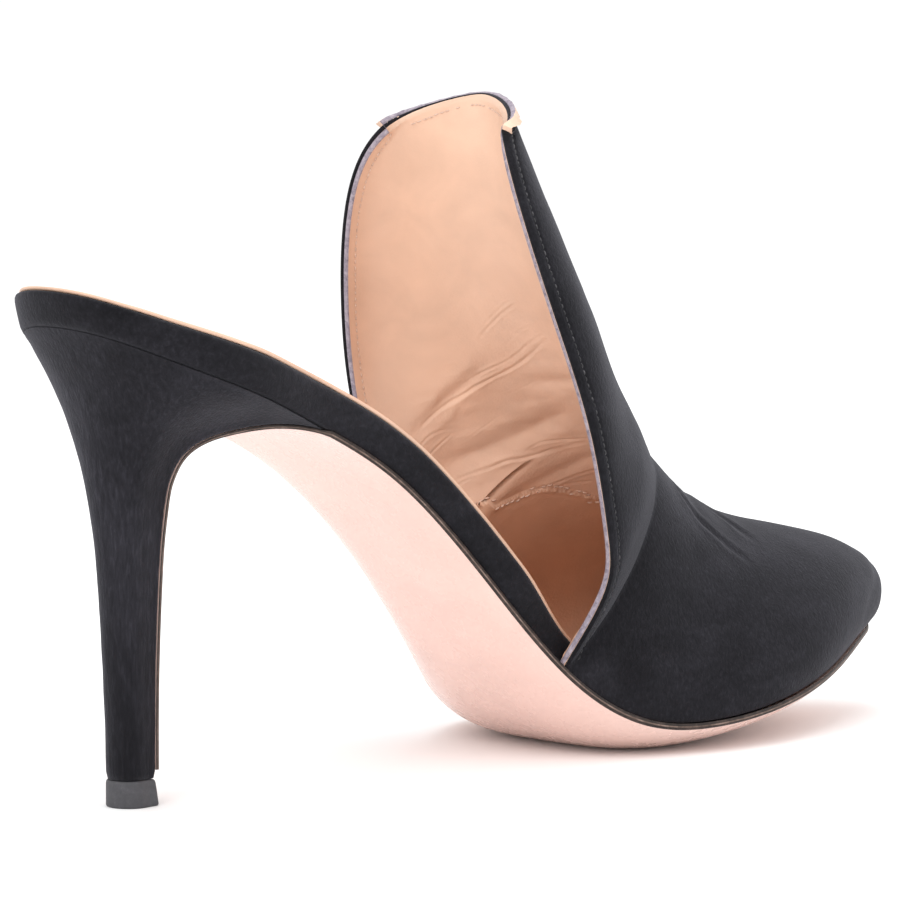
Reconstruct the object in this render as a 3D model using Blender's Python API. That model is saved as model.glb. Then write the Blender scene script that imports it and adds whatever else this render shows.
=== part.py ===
"""A backless high-heeled pointed mule, one right shoe, as an assembly of six solids.

Upper (one hollow wall), insole, sock, outsole, heel and top piece. Sizes are in millimetres
in the tables below and the mesh is written in metres.
"""

import math
from collections import namedtuple

import bmesh
import bpy
import numpy as np

# ---------------------------------------------------------------- sizes, in millimetres
# +X runs from the back of the heel to the toe, +Z is up, z = 0 is the floor. The outer side
# of the foot is -Y and the inner side +Y, so this is a right shoe.

SOLE_LENGTH = 212.5     # outline of the sole, heel to toe
HEEL_ROUND = 25.6       # length over which the heel end is rounded
HEEL_ROUND_POWER = 2.25
TOE_ROUND = 7.0         # length over which the toe end is rounded
FOREFOOT_SAG = 3.7      # how far the forefoot bows down between its two edges
SAG_POWER = 3.6
BACK_LEAN = math.radians(-15.0)  # the band leans back round the heel ...
LEAN_BLEND = 41.5       # ... and is square to the footbed from here on

GAP = 0.3               # gap between two bonded pieces

BAND = 7.5              # insole with its wrapping, at the visible edge
INSOLE_TOE = 4.2        # the same inside the closed toe
INSOLE_IN = 3.3         # how far the insole is set in where the upper wraps it
SOCK = 0.9
SOCK_INSET = 1.3

SOLE_EDGE = 1.2         # outsole at its visible edge
SOLE_MIDDLE = 3.3       # outsole along its middle
FLAP = 0.8              # the outsole's tail on the heel breast
FLAP_END = 6.6          # height at which that tail stops

WALL = 2.0              # upper and its lining together
UPPER_INSET = 0.6       # the upper's foot, inside the sole's outline

TOP_PIECE = 5.0         # height of the rubber top piece
TOP_PIECE_FLARE = 0.6   # its lower end reaches this much further forward
HEEL_FOOT = TOP_PIECE + GAP

Sole = namedtuple("Sole", "x feather outer inner")
SOLE = [  # station, height of the feather line, half-width outer side, half-width inner side
    Sole(0.0, 91.7, 22.4, 22.4),
    Sole(14.0, 85.1, 22.4, 22.4),
    Sole(30.0, 78.7, 24.2, 24.2),
    Sole(47.5, 71.6, 20.6, 20.9),
    Sole(68.0, 60.0, 20.4, 17.0),
    Sole(88.0, 40.2, 22.4, 15.2),
    Sole(108.5, 17.8, 25.8, 21.4),
    Sole(124.0, 8.3, 29.3, 32.4),
    Sole(139.0, 6.5, 32.4, 39.2),
    Sole(154.0, 8.0, 33.4, 37.8),
    Sole(174.5, 11.6, 28.4, 29.6),
    Sole(195.0, 15.2, 16.8, 15.8),
    Sole(212.5, 18.4, 5.5, 1.0),
]

Edge = namedtuple("Edge", "t x outer inner z")
OPENING = [  # the free edge, from the middle of the tab's top down to the sole on either side
    Edge(0.000, 109.5, 0.0, 0.0, 131.0),
    Edge(0.125, 105.6, 7.5, 7.5, 130.3),
    Edge(0.250, 98.2, 17.6, 17.6, 124.8),
    Edge(0.375, 95.6, 25.7, 25.7, 110.8),
    Edge(0.500, 98.9, 31.9, 31.9, 89.1),
    Edge(0.625, 104.2, 35.8, 35.0, 67.1),
    Edge(0.750, 109.1, 35.4, 33.0, 47.0),
    Edge(0.875, 111.0, 32.4, 30.5, 34.4),
    Edge(1.000, 106.9, 25.0, 20.4, 19.6),
]

Hoop = namedtuple("Hoop", "s foot edge ridge_x ridge_z ridge_y side out_outer out_inner top")
HOOPS = [
    # Sections over the instep, from the toe (s = 0) to the tab's top (s = 13). Each starts on
    # the sole at station foot, or on the opening at t = edge, leaves along a handle of length
    # side that leans outwards by out, and meets the ridge along a level handle of length top.
    Hoop(0, 209.0, None, 212.0, 18.8, -1.5, 2.0, 0.30, 0.30, 2.6),
    Hoop(1, 203.0, None, 214.5, 26.5, -1.2, 7.0, 0.30, 0.30, 6.0),
    Hoop(2, 191.0, None, 207.5, 33.5, -0.8, 12.0, 0.26, 0.26, 11.5),
    Hoop(3, 175.0, None, 194.0, 38.3, 0.0, 17.0, 0.22, 0.22, 15.5),
    Hoop(4, 158.0, None, 179.0, 41.7, 1.0, 19.5, 0.18, 0.22, 18.5),
    Hoop(5, 141.0, None, 166.0, 45.7, 1.6, 21.0, 0.16, 0.26, 21.0),
    Hoop(6, 124.0, None, 154.0, 52.8, 1.6, 23.0, 0.20, 0.36, 23.0),
    Hoop(7, 106.9, 1.000, 143.6, 61.5, 1.4, 26.0, 0.26, 0.50, 25.0),
    Hoop(8, None, 0.875, 135.4, 71.7, 1.0, 20.0, 0.20, 0.30, 24.5),
    Hoop(9, None, 0.750, 128.4, 82.4, 0.6, 16.0, 0.10, 0.12, 22.5),
    Hoop(10, None, 0.625, 121.8, 94.0, 0.2, 14.5, 0.04, 0.06, 19.5),
    Hoop(11, None, 0.500, 116.2, 105.8, 0.0, 12.5, 0.02, 0.02, 16.0),
    Hoop(12, None, 0.375, 111.8, 118.2, 0.0, 9.5, 0.02, 0.02, 11.5),
    Hoop(13, None, 0.250, 109.5, 131.0, 0.0, 6.0, 0.00, 0.00, 6.0),
]
CORNER = 7              # the hoop that starts where the opening meets the sole
LAST_HOOP = 13

Ring = namedtuple("Ring", "back_x back_z front_x front_z front_half widest seat")
RINGS = [
    # Heel sections, bottom to top: the back point, the breast corner's position, its half
    # width, the greatest half-width, and how far the outline has turned from the column's
    # D (0) into the seat's U (1).
    Ring(13.0, HEEL_FOOT, 20.6, HEEL_FOOT, 3.9, 4.4, 0.00),
    Ring(12.7, 25.0, 20.9, 25.0, 4.2, 4.7, 0.00),
    Ring(11.7, 45.0, 21.7, 45.0, 4.9, 5.2, 0.00),
    Ring(10.8, 54.0, 22.3, 53.0, 5.4, 5.9, 0.02),
    Ring(9.9, 61.0, 22.9, 58.8, 6.0, 7.0, 0.08),
    Ring(9.0, 67.0, 23.6, 62.2, 6.7, 8.7, 0.18),
    Ring(8.1, 72.0, 24.8, 65.4, 7.8, 10.8, 0.32),
    Ring(7.0, 76.5, 27.4, 68.0, 8.9, 13.2, 0.46),
    Ring(5.8, 80.5, 31.3, 69.7, 10.2, 15.9, 0.60),
    Ring(4.4, 84.0, 36.0, 70.8, 12.4, 18.4, 0.73),
    Ring(3.0, 87.1, 41.0, 71.4, 15.2, 20.9, 0.85),
    Ring(1.7, 89.6, 45.8, 71.1, 17.9, 22.4, 0.94),
    Ring(0.6, 91.4, 49.9, 70.1, 19.5, 23.8, 1.00),
]


# ---------------------------------------------------------------- curves

def spline(xs, ys):
    """Natural cubic through the rows of a table."""
    xs = np.asarray(xs, float)
    ys = np.asarray(ys, float)
    n = len(xs)
    h = np.diff(xs)
    a = np.zeros((n, n))
    r = np.zeros(n)
    a[0, 0] = a[-1, -1] = 1.0
    for i in range(1, n - 1):
        a[i, i - 1], a[i, i], a[i, i + 1] = h[i - 1], 2 * (h[i - 1] + h[i]), h[i]
        r[i] = 6 * ((ys[i + 1] - ys[i]) / h[i] - (ys[i] - ys[i - 1]) / h[i - 1])
    m = np.linalg.solve(a, r)

    def at(x, slope=False):
        x = np.asarray(x, float)
        i = np.clip(np.searchsorted(xs, x) - 1, 0, n - 2)
        d, p, q = h[i], xs[i + 1] - x, x - xs[i]
        if slope:
            return ((m[i + 1] * q ** 2 - m[i] * p ** 2) / (2 * d)
                    + (ys[i + 1] - ys[i]) / d - (m[i + 1] - m[i]) * d / 6)
        return ((m[i] * p ** 3 + m[i + 1] * q ** 3) / (6 * d)
                + (ys[i] / d - m[i] * d / 6) * p + (ys[i + 1] / d - m[i + 1] * d / 6) * q)

    return at


def smooth(start, end, x):
    t = np.clip((np.asarray(x, float) - start) / (end - start), 0, 1)
    return t * t * (3 - 2 * t)


def column(table, name):
    return [getattr(row, name) for row in table]


feather = spline(column(SOLE, "x"), column(SOLE, "feather"))
outer_half = spline(column(SOLE, "x"), column(SOLE, "outer"))
inner_half = spline(column(SOLE, "x"), column(SOLE, "inner"))


def halves(x):
    """Half-widths of the sole's outline to the outer and the inner side."""
    x = np.asarray(x, float)
    heel = np.clip((HEEL_ROUND - x) / HEEL_ROUND, 0, 1)
    toe = np.clip((x - (SOLE_LENGTH - TOE_ROUND)) / TOE_ROUND, 0, 1)
    rounding = ((1 - heel ** HEEL_ROUND_POWER) ** (1 / HEEL_ROUND_POWER)
                * np.sqrt(np.clip(1 - toe ** 2, 0, 1)))
    middle = (inner_half(x) - outer_half(x)) / 2
    half = (inner_half(x) + outer_half(x)) / 2 * rounding
    return half - middle, half + middle


def sag(x):
    return FOREFOOT_SAG * smooth(70, 125, x) * (1 - 0.9 * smooth(160, 212, x))


def lean(x):
    """Angle from the vertical, towards the toe, in which the footbed's layers are stacked."""
    square = smooth(0, LEAN_BLEND, x)
    return -np.arctan(feather(x, True)) * square + BACK_LEAN * (1 - square)


def bowed(x, y):
    """How far the footbed lies below its feather line at this point."""
    outer, inner = halves(x)
    v = np.where(y < 0, -y / np.maximum(outer, 1e-6), y / np.maximum(inner, 1e-6))
    return sag(x) * (1 - np.clip(np.abs(v), 0, 1) ** SAG_POWER)


def layer(x, y, height):
    """A point of the footbed raised by height along the stacking direction."""
    a = lean(x)
    return np.stack([x + height * np.sin(a), y, feather(x) - bowed(x, y) + height * np.cos(a)], -1)


def outline(count, inset=0.0):
    """Outline of the sole set in by inset (a number or a function of x): the outer side's and
    the inner side's points, station by station, the two meeting at the heel and at the toe."""
    x = SOLE_LENGTH * (1 - np.cos(np.linspace(0, np.pi, count))) / 2
    outer, inner = halves(x)
    loop = np.concatenate([np.stack([x, -outer], 1), np.stack([x, inner], 1)[-2:0:-1]])
    run = np.roll(loop, -1, 0) - np.roll(loop, 1, 0)
    run /= np.linalg.norm(run, axis=1)[:, None]
    into = np.stack([-run[:, 1], run[:, 0]], 1)
    depth = inset(loop[:, 0]) if callable(inset) else inset
    loop = loop + into * np.reshape(depth, (-1, 1))
    return loop[:count], np.roll(loop, -1, 0)[::-1][:count]


# ---------------------------------------------------------------- upper

def edge_curve(name, odd):
    values = column(OPENING, name)
    mirrored = [-v if odd else v for v in values[:0:-1]]
    ts = column(OPENING, "t")
    return spline([-t for t in ts[:0:-1]] + ts, mirrored + values)


edge_x, edge_z = edge_curve("x", False), edge_curve("z", False)
edge_half = {-1: edge_curve("outer", True), 1: edge_curve("inner", True)}


def opening(t, side):
    """The free edge; side is -1 for the outer and +1 for the inner side."""
    return np.array([edge_x(t), side * edge_half[side](t), edge_z(t)])


def hoop_value(name):
    return spline(column(HOOPS, "s"), column(HOOPS, name))


ridge_x, ridge_y, ridge_z = hoop_value("ridge_x"), hoop_value("ridge_y"), hoop_value("ridge_z")
side_handle, top_handle = hoop_value("side"), hoop_value("top")
lean_out = {-1: hoop_value("out_outer"), 1: hoop_value("out_inner")}
hoop_foot = spline(range(CORNER + 1), column(HOOPS[:CORNER + 1], "foot"))
hoop_edge = spline(range(CORNER, LAST_HOOP + 1), column(HOOPS[CORNER:], "edge"))


def upper_foot(x, side):
    outer, inner = halves(x)
    y = -(outer - UPPER_INSET) if side < 0 else inner - UPPER_INSET
    return np.array([x, y, feather(x) + GAP])


def half_hoop(s, side, fineness=60):
    """One half section, from the sole or the opening up to the ridge."""
    start = upper_foot(hoop_foot(s), side) if s <= CORNER else opening(hoop_edge(s), side)
    ridge = np.array([ridge_x(s), ridge_y(s), ridge_z(s)])
    leave = ridge - start
    leave[1] = 0
    leave /= np.linalg.norm(leave)
    leave[1] = side * lean_out[side](s)
    leave /= np.linalg.norm(leave)
    first = start + side_handle(s) * leave
    second = ridge + np.array([0, side * top_handle(s), 0])
    t = np.linspace(0, 1, fineness)[:, None]
    return ((1 - t) ** 3 * start + 3 * (1 - t) ** 2 * t * first
            + 3 * (1 - t) * t ** 2 * second + t ** 3 * ridge)


def even(curve, fractions):
    run = np.concatenate([[0], np.cumsum(np.linalg.norm(np.diff(curve, axis=0), axis=1))])
    return np.stack([np.interp(np.asarray(fractions) * run[-1], run, curve[:, k]) for k in range(3)], 1)


def upper_grid(stations, across):
    """Outer face of the upper: a row per station, from the outer side over the ridge to the inner."""
    share = np.linspace(0, 1, across + 1)
    rows = []
    for s in stations:
        rows.append(np.concatenate([even(half_hoop(s, -1), share), even(half_hoop(s, 1), share)[-2::-1]]))
    return np.array(rows)


def grid_normals(grid):
    along = np.gradient(grid, axis=0)
    across = np.gradient(grid, axis=1)
    n = np.cross(across, along)
    n /= np.maximum(np.linalg.norm(n, axis=2), 1e-9)[..., None]
    return n


# ---------------------------------------------------------------- heel

def ring_value(name):
    return spline(range(len(RINGS)), column(RINGS, name))


RING = {name: ring_value(name) for name in Ring._fields}
D_BACK = 0.52           # share of the column's depth taken by its round back
SEAT_END = RINGS[-1].front_x


def column_d(q):
    """Half-width of the heel column at a share q of its depth, back to front, with 1 the widest."""
    u = np.clip((D_BACK - q) / D_BACK, 0, 1)
    return (1 - u ** 2) ** 0.5


def seat_u(q):
    """The same for the heel seat."""
    outer, inner = halves(SEAT_END * q)
    widest = max(halves(np.linspace(0, SEAT_END, 60))[0])
    return (outer + inner) / 2 / widest


def heel_ring(k, q):
    """Outer-side half of heel section k at the shares q of its depth; mirrored for the inner side."""
    g = {name: float(f(k)) for name, f in RING.items()}
    shape = (1 - g["seat"]) * column_d(q) + g["seat"] * seat_u(q)
    front = (1 - g["seat"]) * 1.0 + g["seat"] * float(seat_u(1.0))
    y = g["widest"] * shape
    y = y * (1 + (g["front_half"] / (g["widest"] * front) - 1) * smooth(0.35, 1.0, q))
    x = g["back_x"] + (g["front_x"] - g["back_x"]) * q
    z = g["back_z"] + (g["front_z"] - g["back_z"]) * q
    level = feather(x)
    chord = level[0] + (level[-1] - level[0]) * q
    return np.stack([x, -y, z + g["seat"] ** 2 * (level - chord)], -1)


def depth_shares(count):
    """Shares of the depth from 0 to 1, closer together at the round back."""
    return 1 - np.cos(np.linspace(0, np.pi / 2, count))


def breast(k, lift=0.0):
    """The breast corner of heel section k, moved off the breast by lift: x, half-width, z."""
    slant = np.array([float(RING["front_z"](k, True)), -float(RING["front_x"](k, True))])
    slant /= np.linalg.norm(slant)
    return (float(RING["front_x"](k)) + lift * slant[0], float(RING["front_half"](k)),
            float(RING["front_z"](k)) + lift * slant[1])


# ---------------------------------------------------------------- meshes

# The middle of the shoe's plan at floor level, taken as the origin.
CENTRE = np.array([106.492, 1.766, 0.0])
METRE = 0.001
WELD = 1e-6

Piece = namedtuple("Piece", "reference colour roughness")
PIECES = {  # reference point in the shoe's frame, colour, roughness
    "upper": Piece((143.6, 0.0, 61.5), (0.018, 0.018, 0.020), 0.95),
    "insole": Piece((0.0, 0.0, 91.7), (0.020, 0.020, 0.022), 0.95),
    "sock": Piece((0.0, 0.0, 99.5), (0.80, 0.60, 0.50), 0.45),
    "outsole": Piece((139.0, 0.0, 0.0), (0.82, 0.60, 0.55), 0.35),
    "heel": Piece((17.0, 0.0, HEEL_FOOT), (0.018, 0.018, 0.020), 0.95),
    "top_piece": Piece((17.0, 0.0, 0.0), (0.045, 0.045, 0.048), 0.60),
}


def add_solid(name, points, faces):
    """A closed object from points in millimetres: welded, cleaned and turned outwards."""
    piece = PIECES[name]
    at = np.array(piece.reference) - CENTRE
    mesh = bpy.data.meshes.new(name)
    bm = bmesh.new()
    verts = [bm.verts.new((np.asarray(p, float) - CENTRE - at) * METRE) for p in points]
    for face in faces:
        bm.faces.new([verts[i] for i in dict.fromkeys(face)])
    bmesh.ops.remove_doubles(bm, verts=bm.verts, dist=WELD)
    bmesh.ops.dissolve_degenerate(bm, edges=bm.edges, dist=WELD)
    bmesh.ops.triangulate(bm, faces=bm.faces)
    bmesh.ops.recalc_face_normals(bm, faces=bm.faces)
    if bm.calc_volume(signed=True) < 0:
        bmesh.ops.reverse_faces(bm, faces=bm.faces)
    bm.to_mesh(mesh)
    bm.free()
    material = bpy.data.materials.new(name)
    material.use_nodes = True
    shader = material.node_tree.nodes["Principled BSDF"]
    shader.inputs["Base Color"].default_value = (*piece.colour, 1.0)
    shader.inputs["Roughness"].default_value = piece.roughness
    mesh.materials.append(material)
    obj = bpy.data.objects.new(name, mesh)
    obj.location = at * METRE
    bpy.context.scene.collection.objects.link(obj)
    return obj


def tube(loops):
    """Faces between neighbouring closed loops of the same number of points."""
    count = len(loops[0])
    points = [p for loop in loops for p in loop]
    faces = []
    for j in range(len(loops) - 1):
        for i in range(count):
            k = (i + 1) % count
            faces.append((j * count + i, j * count + k, (j + 1) * count + k, (j + 1) * count + i))
    return points, faces


def bars(left, right, steps, height, share=0.0):
    """Points across the footbed from left to right at a height above the feather line."""
    rows = []
    for a, b in zip(left, right):
        t = (1 - np.cos(np.linspace(0, np.pi, steps + 1))) / 2 * (1 - share) + np.linspace(0, 1, steps + 1) * share
        xy = a + (b - a) * t[:, None]
        rows.append(layer(xy[:, 0], xy[:, 1], height(xy[:, 0])))
    return rows


Level = namedtuple("Level", "height inset")


def plate(name, count, across, levels):
    """A plate of the footbed. Levels run from its lower to its upper face; each has a height
    and an inset, both functions of the station."""
    sides = [outline(count, level.inset) for level in levels]
    under = bars(*sides[0], across, levels[0].height)
    over = bars(*sides[-1], across, levels[-1].height)
    loops = []
    for j in range(count):
        loop = list(under[j])
        for level, (_, inner) in zip(levels[1:-1], sides[1:-1]):
            loop.append(layer(inner[j, 0], inner[j, 1], level.height(inner[j, 0])))
        loop += list(over[j][::-1])
        for level, (outer, _) in list(zip(levels, sides))[-2:0:-1]:
            loop.append(layer(outer[j, 0], outer[j, 1], level.height(outer[j, 0])))
        loops.append(loop)
    points, faces = tube(loops)
    return add_solid(name, points, faces)


def wrapped(x):
    """Inset of the insole where the upper closes over it: none at the visible band."""
    return INSOLE_IN * smooth(92, 105.5, x)


def insole_height(x):
    return BAND - (BAND - INSOLE_TOE) * smooth(108, 145, x)


def make_insole():
    return plate("insole", 43, 5, [
        Level(lambda x: GAP + 0 * x, lambda x: wrapped(x) + 0.9),
        Level(lambda x: GAP + 0.9 + 0 * x, wrapped),
        Level(lambda x: insole_height(x) - 1.5, wrapped),
        Level(insole_height, lambda x: wrapped(x) + 1.4),
    ])


def make_sock():
    def under(x):
        return insole_height(x) + GAP

    return plate("sock", 43, 5, [
        Level(under, lambda x: wrapped(x) + SOCK_INSET + 0.6),
        Level(lambda x: under(x) + SOCK, lambda x: wrapped(x) + SOCK_INSET + 0.6),
    ])


FLAT_SPOT_Z = 0.0
WAIST_END = 52.0        # the outsole leaves the footbed here and turns down the heel breast


def outsole_section(x, across):
    """Top points then bottom points of the outsole at a station, outer to inner side."""
    outer, inner = halves(x)
    v = np.sin(np.linspace(-np.pi / 2, np.pi / 2, across + 1))
    y = np.where(v < 0, v * outer, v * inner)
    xs = np.full(across + 1, float(x))
    top = layer(xs, y, np.zeros(across + 1))
    middle = FLAP + (SOLE_MIDDLE - FLAP) * smooth(WAIST_END - 2, 80, x)
    middle = middle + (SOLE_EDGE - middle) * smooth(175, 212, x)
    thick = SOLE_EDGE + (middle - SOLE_EDGE) * (1 - np.abs(v) ** SAG_POWER)
    a = -np.arctan(float(feather(x, True)))
    bottom = top - np.stack([thick * np.sin(a), 0 * y, thick * np.cos(a)], 1)
    bottom[:, 2] = np.maximum(bottom[:, 2], FLAT_SPOT_Z)
    return top, bottom


def make_outsole(across=8):
    stations = WAIST_END + (SOLE_LENGTH - WAIST_END) * np.sin(np.linspace(0, np.pi / 2, 38)) ** 1.0
    loops = []
    for x in stations[::-1]:
        top, bottom = outsole_section(x, across)
        loops.append(list(top) + list(bottom[::-1]))
    last = len(RINGS) - 1
    for k in np.linspace(last, 0, 25):
        _, half, z = breast(k, GAP)
        if z < FLAP_END:
            break
        v = np.sin(np.linspace(-np.pi / 2, np.pi / 2, across + 1)) * (half - GAP)
        top = [(breast(k, GAP)[0], y, breast(k, GAP)[2]) for y in v]
        bottom = [(breast(k, GAP + FLAP)[0], y, breast(k, GAP + FLAP)[2]) for y in v]
        loops.append(top + bottom[::-1])
    points, faces = tube(loops)
    faces += cap(len(loops) - 1, across, len(loops[0]))
    return add_solid("outsole", points, faces)


def cap(row, across, count):
    """Faces that close one end of a loft whose loop runs out along the top and back below."""
    start = row * count
    return [(start + i, start + i + 1, start + count - 2 - i, start + count - 1 - i) for i in range(across)]


def closed_ring(half_ring):
    """Both halves of a heel section: outer corner, round the back, inner corner."""
    mirrored = half_ring * np.array([1, -1, 1])
    return list(half_ring[::-1]) + list(mirrored[1:])


def ladder(start, count):
    """Faces across a heel section, between the points that mirror each other."""
    return [(start + i, start + i + 1, start + count - 2 - i, start + count - 1 - i) for i in range(count // 2)]


def make_heel():
    q = depth_shares(12)
    loops = [closed_ring(heel_ring(k, q)) for k in np.linspace(0, len(RINGS) - 1, 25)]
    points, faces = tube(loops)
    count = len(loops[0])
    faces += ladder(0, count) + ladder((len(loops) - 1) * count, count)
    return add_solid("heel", points, faces)


def make_top_piece():
    q = depth_shares(12)
    foot = RINGS[0]
    loops = []
    for z, flare in ((0.0, TOP_PIECE_FLARE), (TOP_PIECE, 0.0)):
        x = foot.back_x + (foot.front_x + flare - foot.back_x) * q
        y = foot.widest * column_d(q) * (1 + (foot.front_half / foot.widest - 1) * smooth(0.35, 1.0, q))
        loops.append(closed_ring(np.stack([x, -y * (1 + 0.4 * flare / foot.widest), np.full(len(q), z)], 1)))
    points, faces = tube(loops)
    count = len(loops[0])
    faces += ladder(0, count) + ladder(count, count)
    return add_solid("top_piece", points, faces)


def make_upper(rows=37, across=20):
    stations = np.linspace(0, LAST_HOOP, rows)
    face = upper_grid(stations, across)
    lining = face - WALL * grid_normals(face)
    n_rows, n_cols = face.shape[:2]
    # The lasted foot stands level on the sole.
    for i in range(n_rows):
        for j in range(n_cols):
            if i == 0 or (j in (0, n_cols - 1) and stations[i] <= CORNER):
                lining[i, j, 2] = feather(lining[i, j, 0]) + GAP
    points = np.concatenate([face.reshape(-1, 3), lining.reshape(-1, 3)])
    half = n_rows * n_cols

    def at(i, j, layer_index):
        return layer_index * half + i * n_cols + j

    faces = []
    for i in range(n_rows - 1):
        for j in range(n_cols - 1):
            for k in (0, 1):
                faces.append((at(i, j, k), at(i, j + 1, k), at(i + 1, j + 1, k), at(i + 1, j, k)))
    border = ([(i, 0) for i in range(n_rows - 1, 0, -1)] + [(0, j) for j in range(n_cols)]
              + [(i, n_cols - 1) for i in range(1, n_rows)] + [(n_rows - 1, j) for j in range(n_cols - 2, 0, -1)])
    for a, b in zip(border, border[1:] + border[:1]):
        faces.append((at(*a, 0), at(*b, 0), at(*b, 1), at(*a, 1)))
    return add_solid("upper", points, faces)


for old in list(bpy.data.objects):
    bpy.data.objects.remove(old, do_unlink=True)
make_upper()
make_insole()
make_sock()
make_outsole()
make_heel()
make_top_piece()
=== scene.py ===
"""Looks of the high-heeled pointed mule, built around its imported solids."""

import math
from collections import namedtuple

import bpy
import numpy as np
from mathutils import Matrix, Vector
from mathutils.bvhtree import BVHTree


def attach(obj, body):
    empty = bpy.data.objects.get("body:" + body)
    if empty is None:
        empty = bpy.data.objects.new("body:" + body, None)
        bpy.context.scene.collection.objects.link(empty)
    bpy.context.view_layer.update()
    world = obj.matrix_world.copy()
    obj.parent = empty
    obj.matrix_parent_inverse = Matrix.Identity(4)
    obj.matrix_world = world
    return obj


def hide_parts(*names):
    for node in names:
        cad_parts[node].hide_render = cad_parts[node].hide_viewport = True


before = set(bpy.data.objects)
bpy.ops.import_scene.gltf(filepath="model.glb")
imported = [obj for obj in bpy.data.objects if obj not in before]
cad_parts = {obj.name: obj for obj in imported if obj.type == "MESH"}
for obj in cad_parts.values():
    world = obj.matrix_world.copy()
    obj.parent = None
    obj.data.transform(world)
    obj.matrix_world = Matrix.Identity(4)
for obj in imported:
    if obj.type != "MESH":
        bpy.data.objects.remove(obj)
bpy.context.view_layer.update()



# ---------------------------------------------------------------- sizes, in millimetres
# +X runs from the back of the heel to the toe, +Z is up, z = 0 is the floor. The outer side
# of the foot is -Y and the inner side +Y, so this is a right shoe.

SOLE_LENGTH = 212.5     # outline of the sole, heel to toe
HEEL_ROUND = 25.6       # length over which the heel end is rounded
HEEL_ROUND_POWER = 2.25
TOE_ROUND = 7.0         # length over which the toe end is rounded
FOREFOOT_SAG = 3.7      # how far the forefoot bows down between its two edges
SAG_POWER = 3.6
BACK_LEAN = math.radians(-15.0)  # the band leans back round the heel ...
LEAN_BLEND = 41.5       # ... and is square to the footbed from here on

GAP = 0.3               # gap between two bonded pieces

BAND = 7.5              # insole with its wrapping, at the visible edge
INSOLE_TOE = 4.2        # the same inside the closed toe
INSOLE_IN = 3.3         # how far the insole is set in where the upper wraps it
SOCK = 0.9
SOCK_INSET = 1.3

SOLE_EDGE = 1.2         # outsole at its visible edge
SOLE_MIDDLE = 3.3       # outsole along its middle
FLAP = 0.8              # the outsole's tail on the heel breast
FLAP_END = 6.6          # height at which that tail stops

WALL = 2.0              # upper and its lining together
UPPER_INSET = 0.6       # the upper's foot, inside the sole's outline

TOP_PIECE = 5.0         # height of the rubber top piece
TOP_PIECE_FLARE = 0.6   # its lower end reaches this much further forward
HEEL_FOOT = TOP_PIECE + GAP

Sole = namedtuple("Sole", "x feather outer inner")
SOLE = [  # station, height of the feather line, half-width outer side, half-width inner side
    Sole(0.0, 91.7, 22.4, 22.4),
    Sole(14.0, 85.1, 22.4, 22.4),
    Sole(30.0, 78.7, 24.2, 24.2),
    Sole(47.5, 71.6, 20.6, 20.9),
    Sole(68.0, 60.0, 20.4, 17.0),
    Sole(88.0, 40.2, 22.4, 15.2),
    Sole(108.5, 17.8, 25.8, 21.4),
    Sole(124.0, 8.3, 29.3, 32.4),
    Sole(139.0, 6.5, 32.4, 39.2),
    Sole(154.0, 8.0, 33.4, 37.8),
    Sole(174.5, 11.6, 28.4, 29.6),
    Sole(195.0, 15.2, 16.8, 15.8),
    Sole(212.5, 18.4, 5.5, 1.0),
]

Edge = namedtuple("Edge", "t x outer inner z")
OPENING = [  # the free edge, from the middle of the tab's top down to the sole on either side
    Edge(0.000, 109.5, 0.0, 0.0, 131.0),
    Edge(0.125, 105.6, 7.5, 7.5, 130.3),
    Edge(0.250, 98.2, 17.6, 17.6, 124.8),
    Edge(0.375, 95.6, 25.7, 25.7, 110.8),
    Edge(0.500, 98.9, 31.9, 31.9, 89.1),
    Edge(0.625, 104.2, 35.8, 35.0, 67.1),
    Edge(0.750, 109.1, 35.4, 33.0, 47.0),
    Edge(0.875, 111.0, 32.4, 30.5, 34.4),
    Edge(1.000, 106.9, 25.0, 20.4, 19.6),
]

Hoop = namedtuple("Hoop", "s foot edge ridge_x ridge_z ridge_y side out_outer out_inner top")
HOOPS = [
    # Sections over the instep, from the toe (s = 0) to the tab's top (s = 13). Each starts on
    # the sole at station foot, or on the opening at t = edge, leaves along a handle of length
    # side that leans outwards by out, and meets the ridge along a level handle of length top.
    Hoop(0, 209.0, None, 212.0, 18.8, -1.5, 2.0, 0.30, 0.30, 2.6),
    Hoop(1, 203.0, None, 214.5, 26.5, -1.2, 7.0, 0.30, 0.30, 6.0),
    Hoop(2, 191.0, None, 207.5, 33.5, -0.8, 12.0, 0.26, 0.26, 11.5),
    Hoop(3, 175.0, None, 194.0, 38.3, 0.0, 17.0, 0.22, 0.22, 15.5),
    Hoop(4, 158.0, None, 179.0, 41.7, 1.0, 19.5, 0.18, 0.22, 18.5),
    Hoop(5, 141.0, None, 166.0, 45.7, 1.6, 21.0, 0.16, 0.26, 21.0),
    Hoop(6, 124.0, None, 154.0, 52.8, 1.6, 23.0, 0.20, 0.36, 23.0),
    Hoop(7, 106.9, 1.000, 143.6, 61.5, 1.4, 26.0, 0.26, 0.50, 25.0),
    Hoop(8, None, 0.875, 135.4, 71.7, 1.0, 20.0, 0.20, 0.30, 24.5),
    Hoop(9, None, 0.750, 128.4, 82.4, 0.6, 16.0, 0.10, 0.12, 22.5),
    Hoop(10, None, 0.625, 121.8, 94.0, 0.2, 14.5, 0.04, 0.06, 19.5),
    Hoop(11, None, 0.500, 116.2, 105.8, 0.0, 12.5, 0.02, 0.02, 16.0),
    Hoop(12, None, 0.375, 111.8, 118.2, 0.0, 9.5, 0.02, 0.02, 11.5),
    Hoop(13, None, 0.250, 109.5, 131.0, 0.0, 6.0, 0.00, 0.00, 6.0),
]
CORNER = 7              # the hoop that starts where the opening meets the sole
LAST_HOOP = 13

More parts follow.
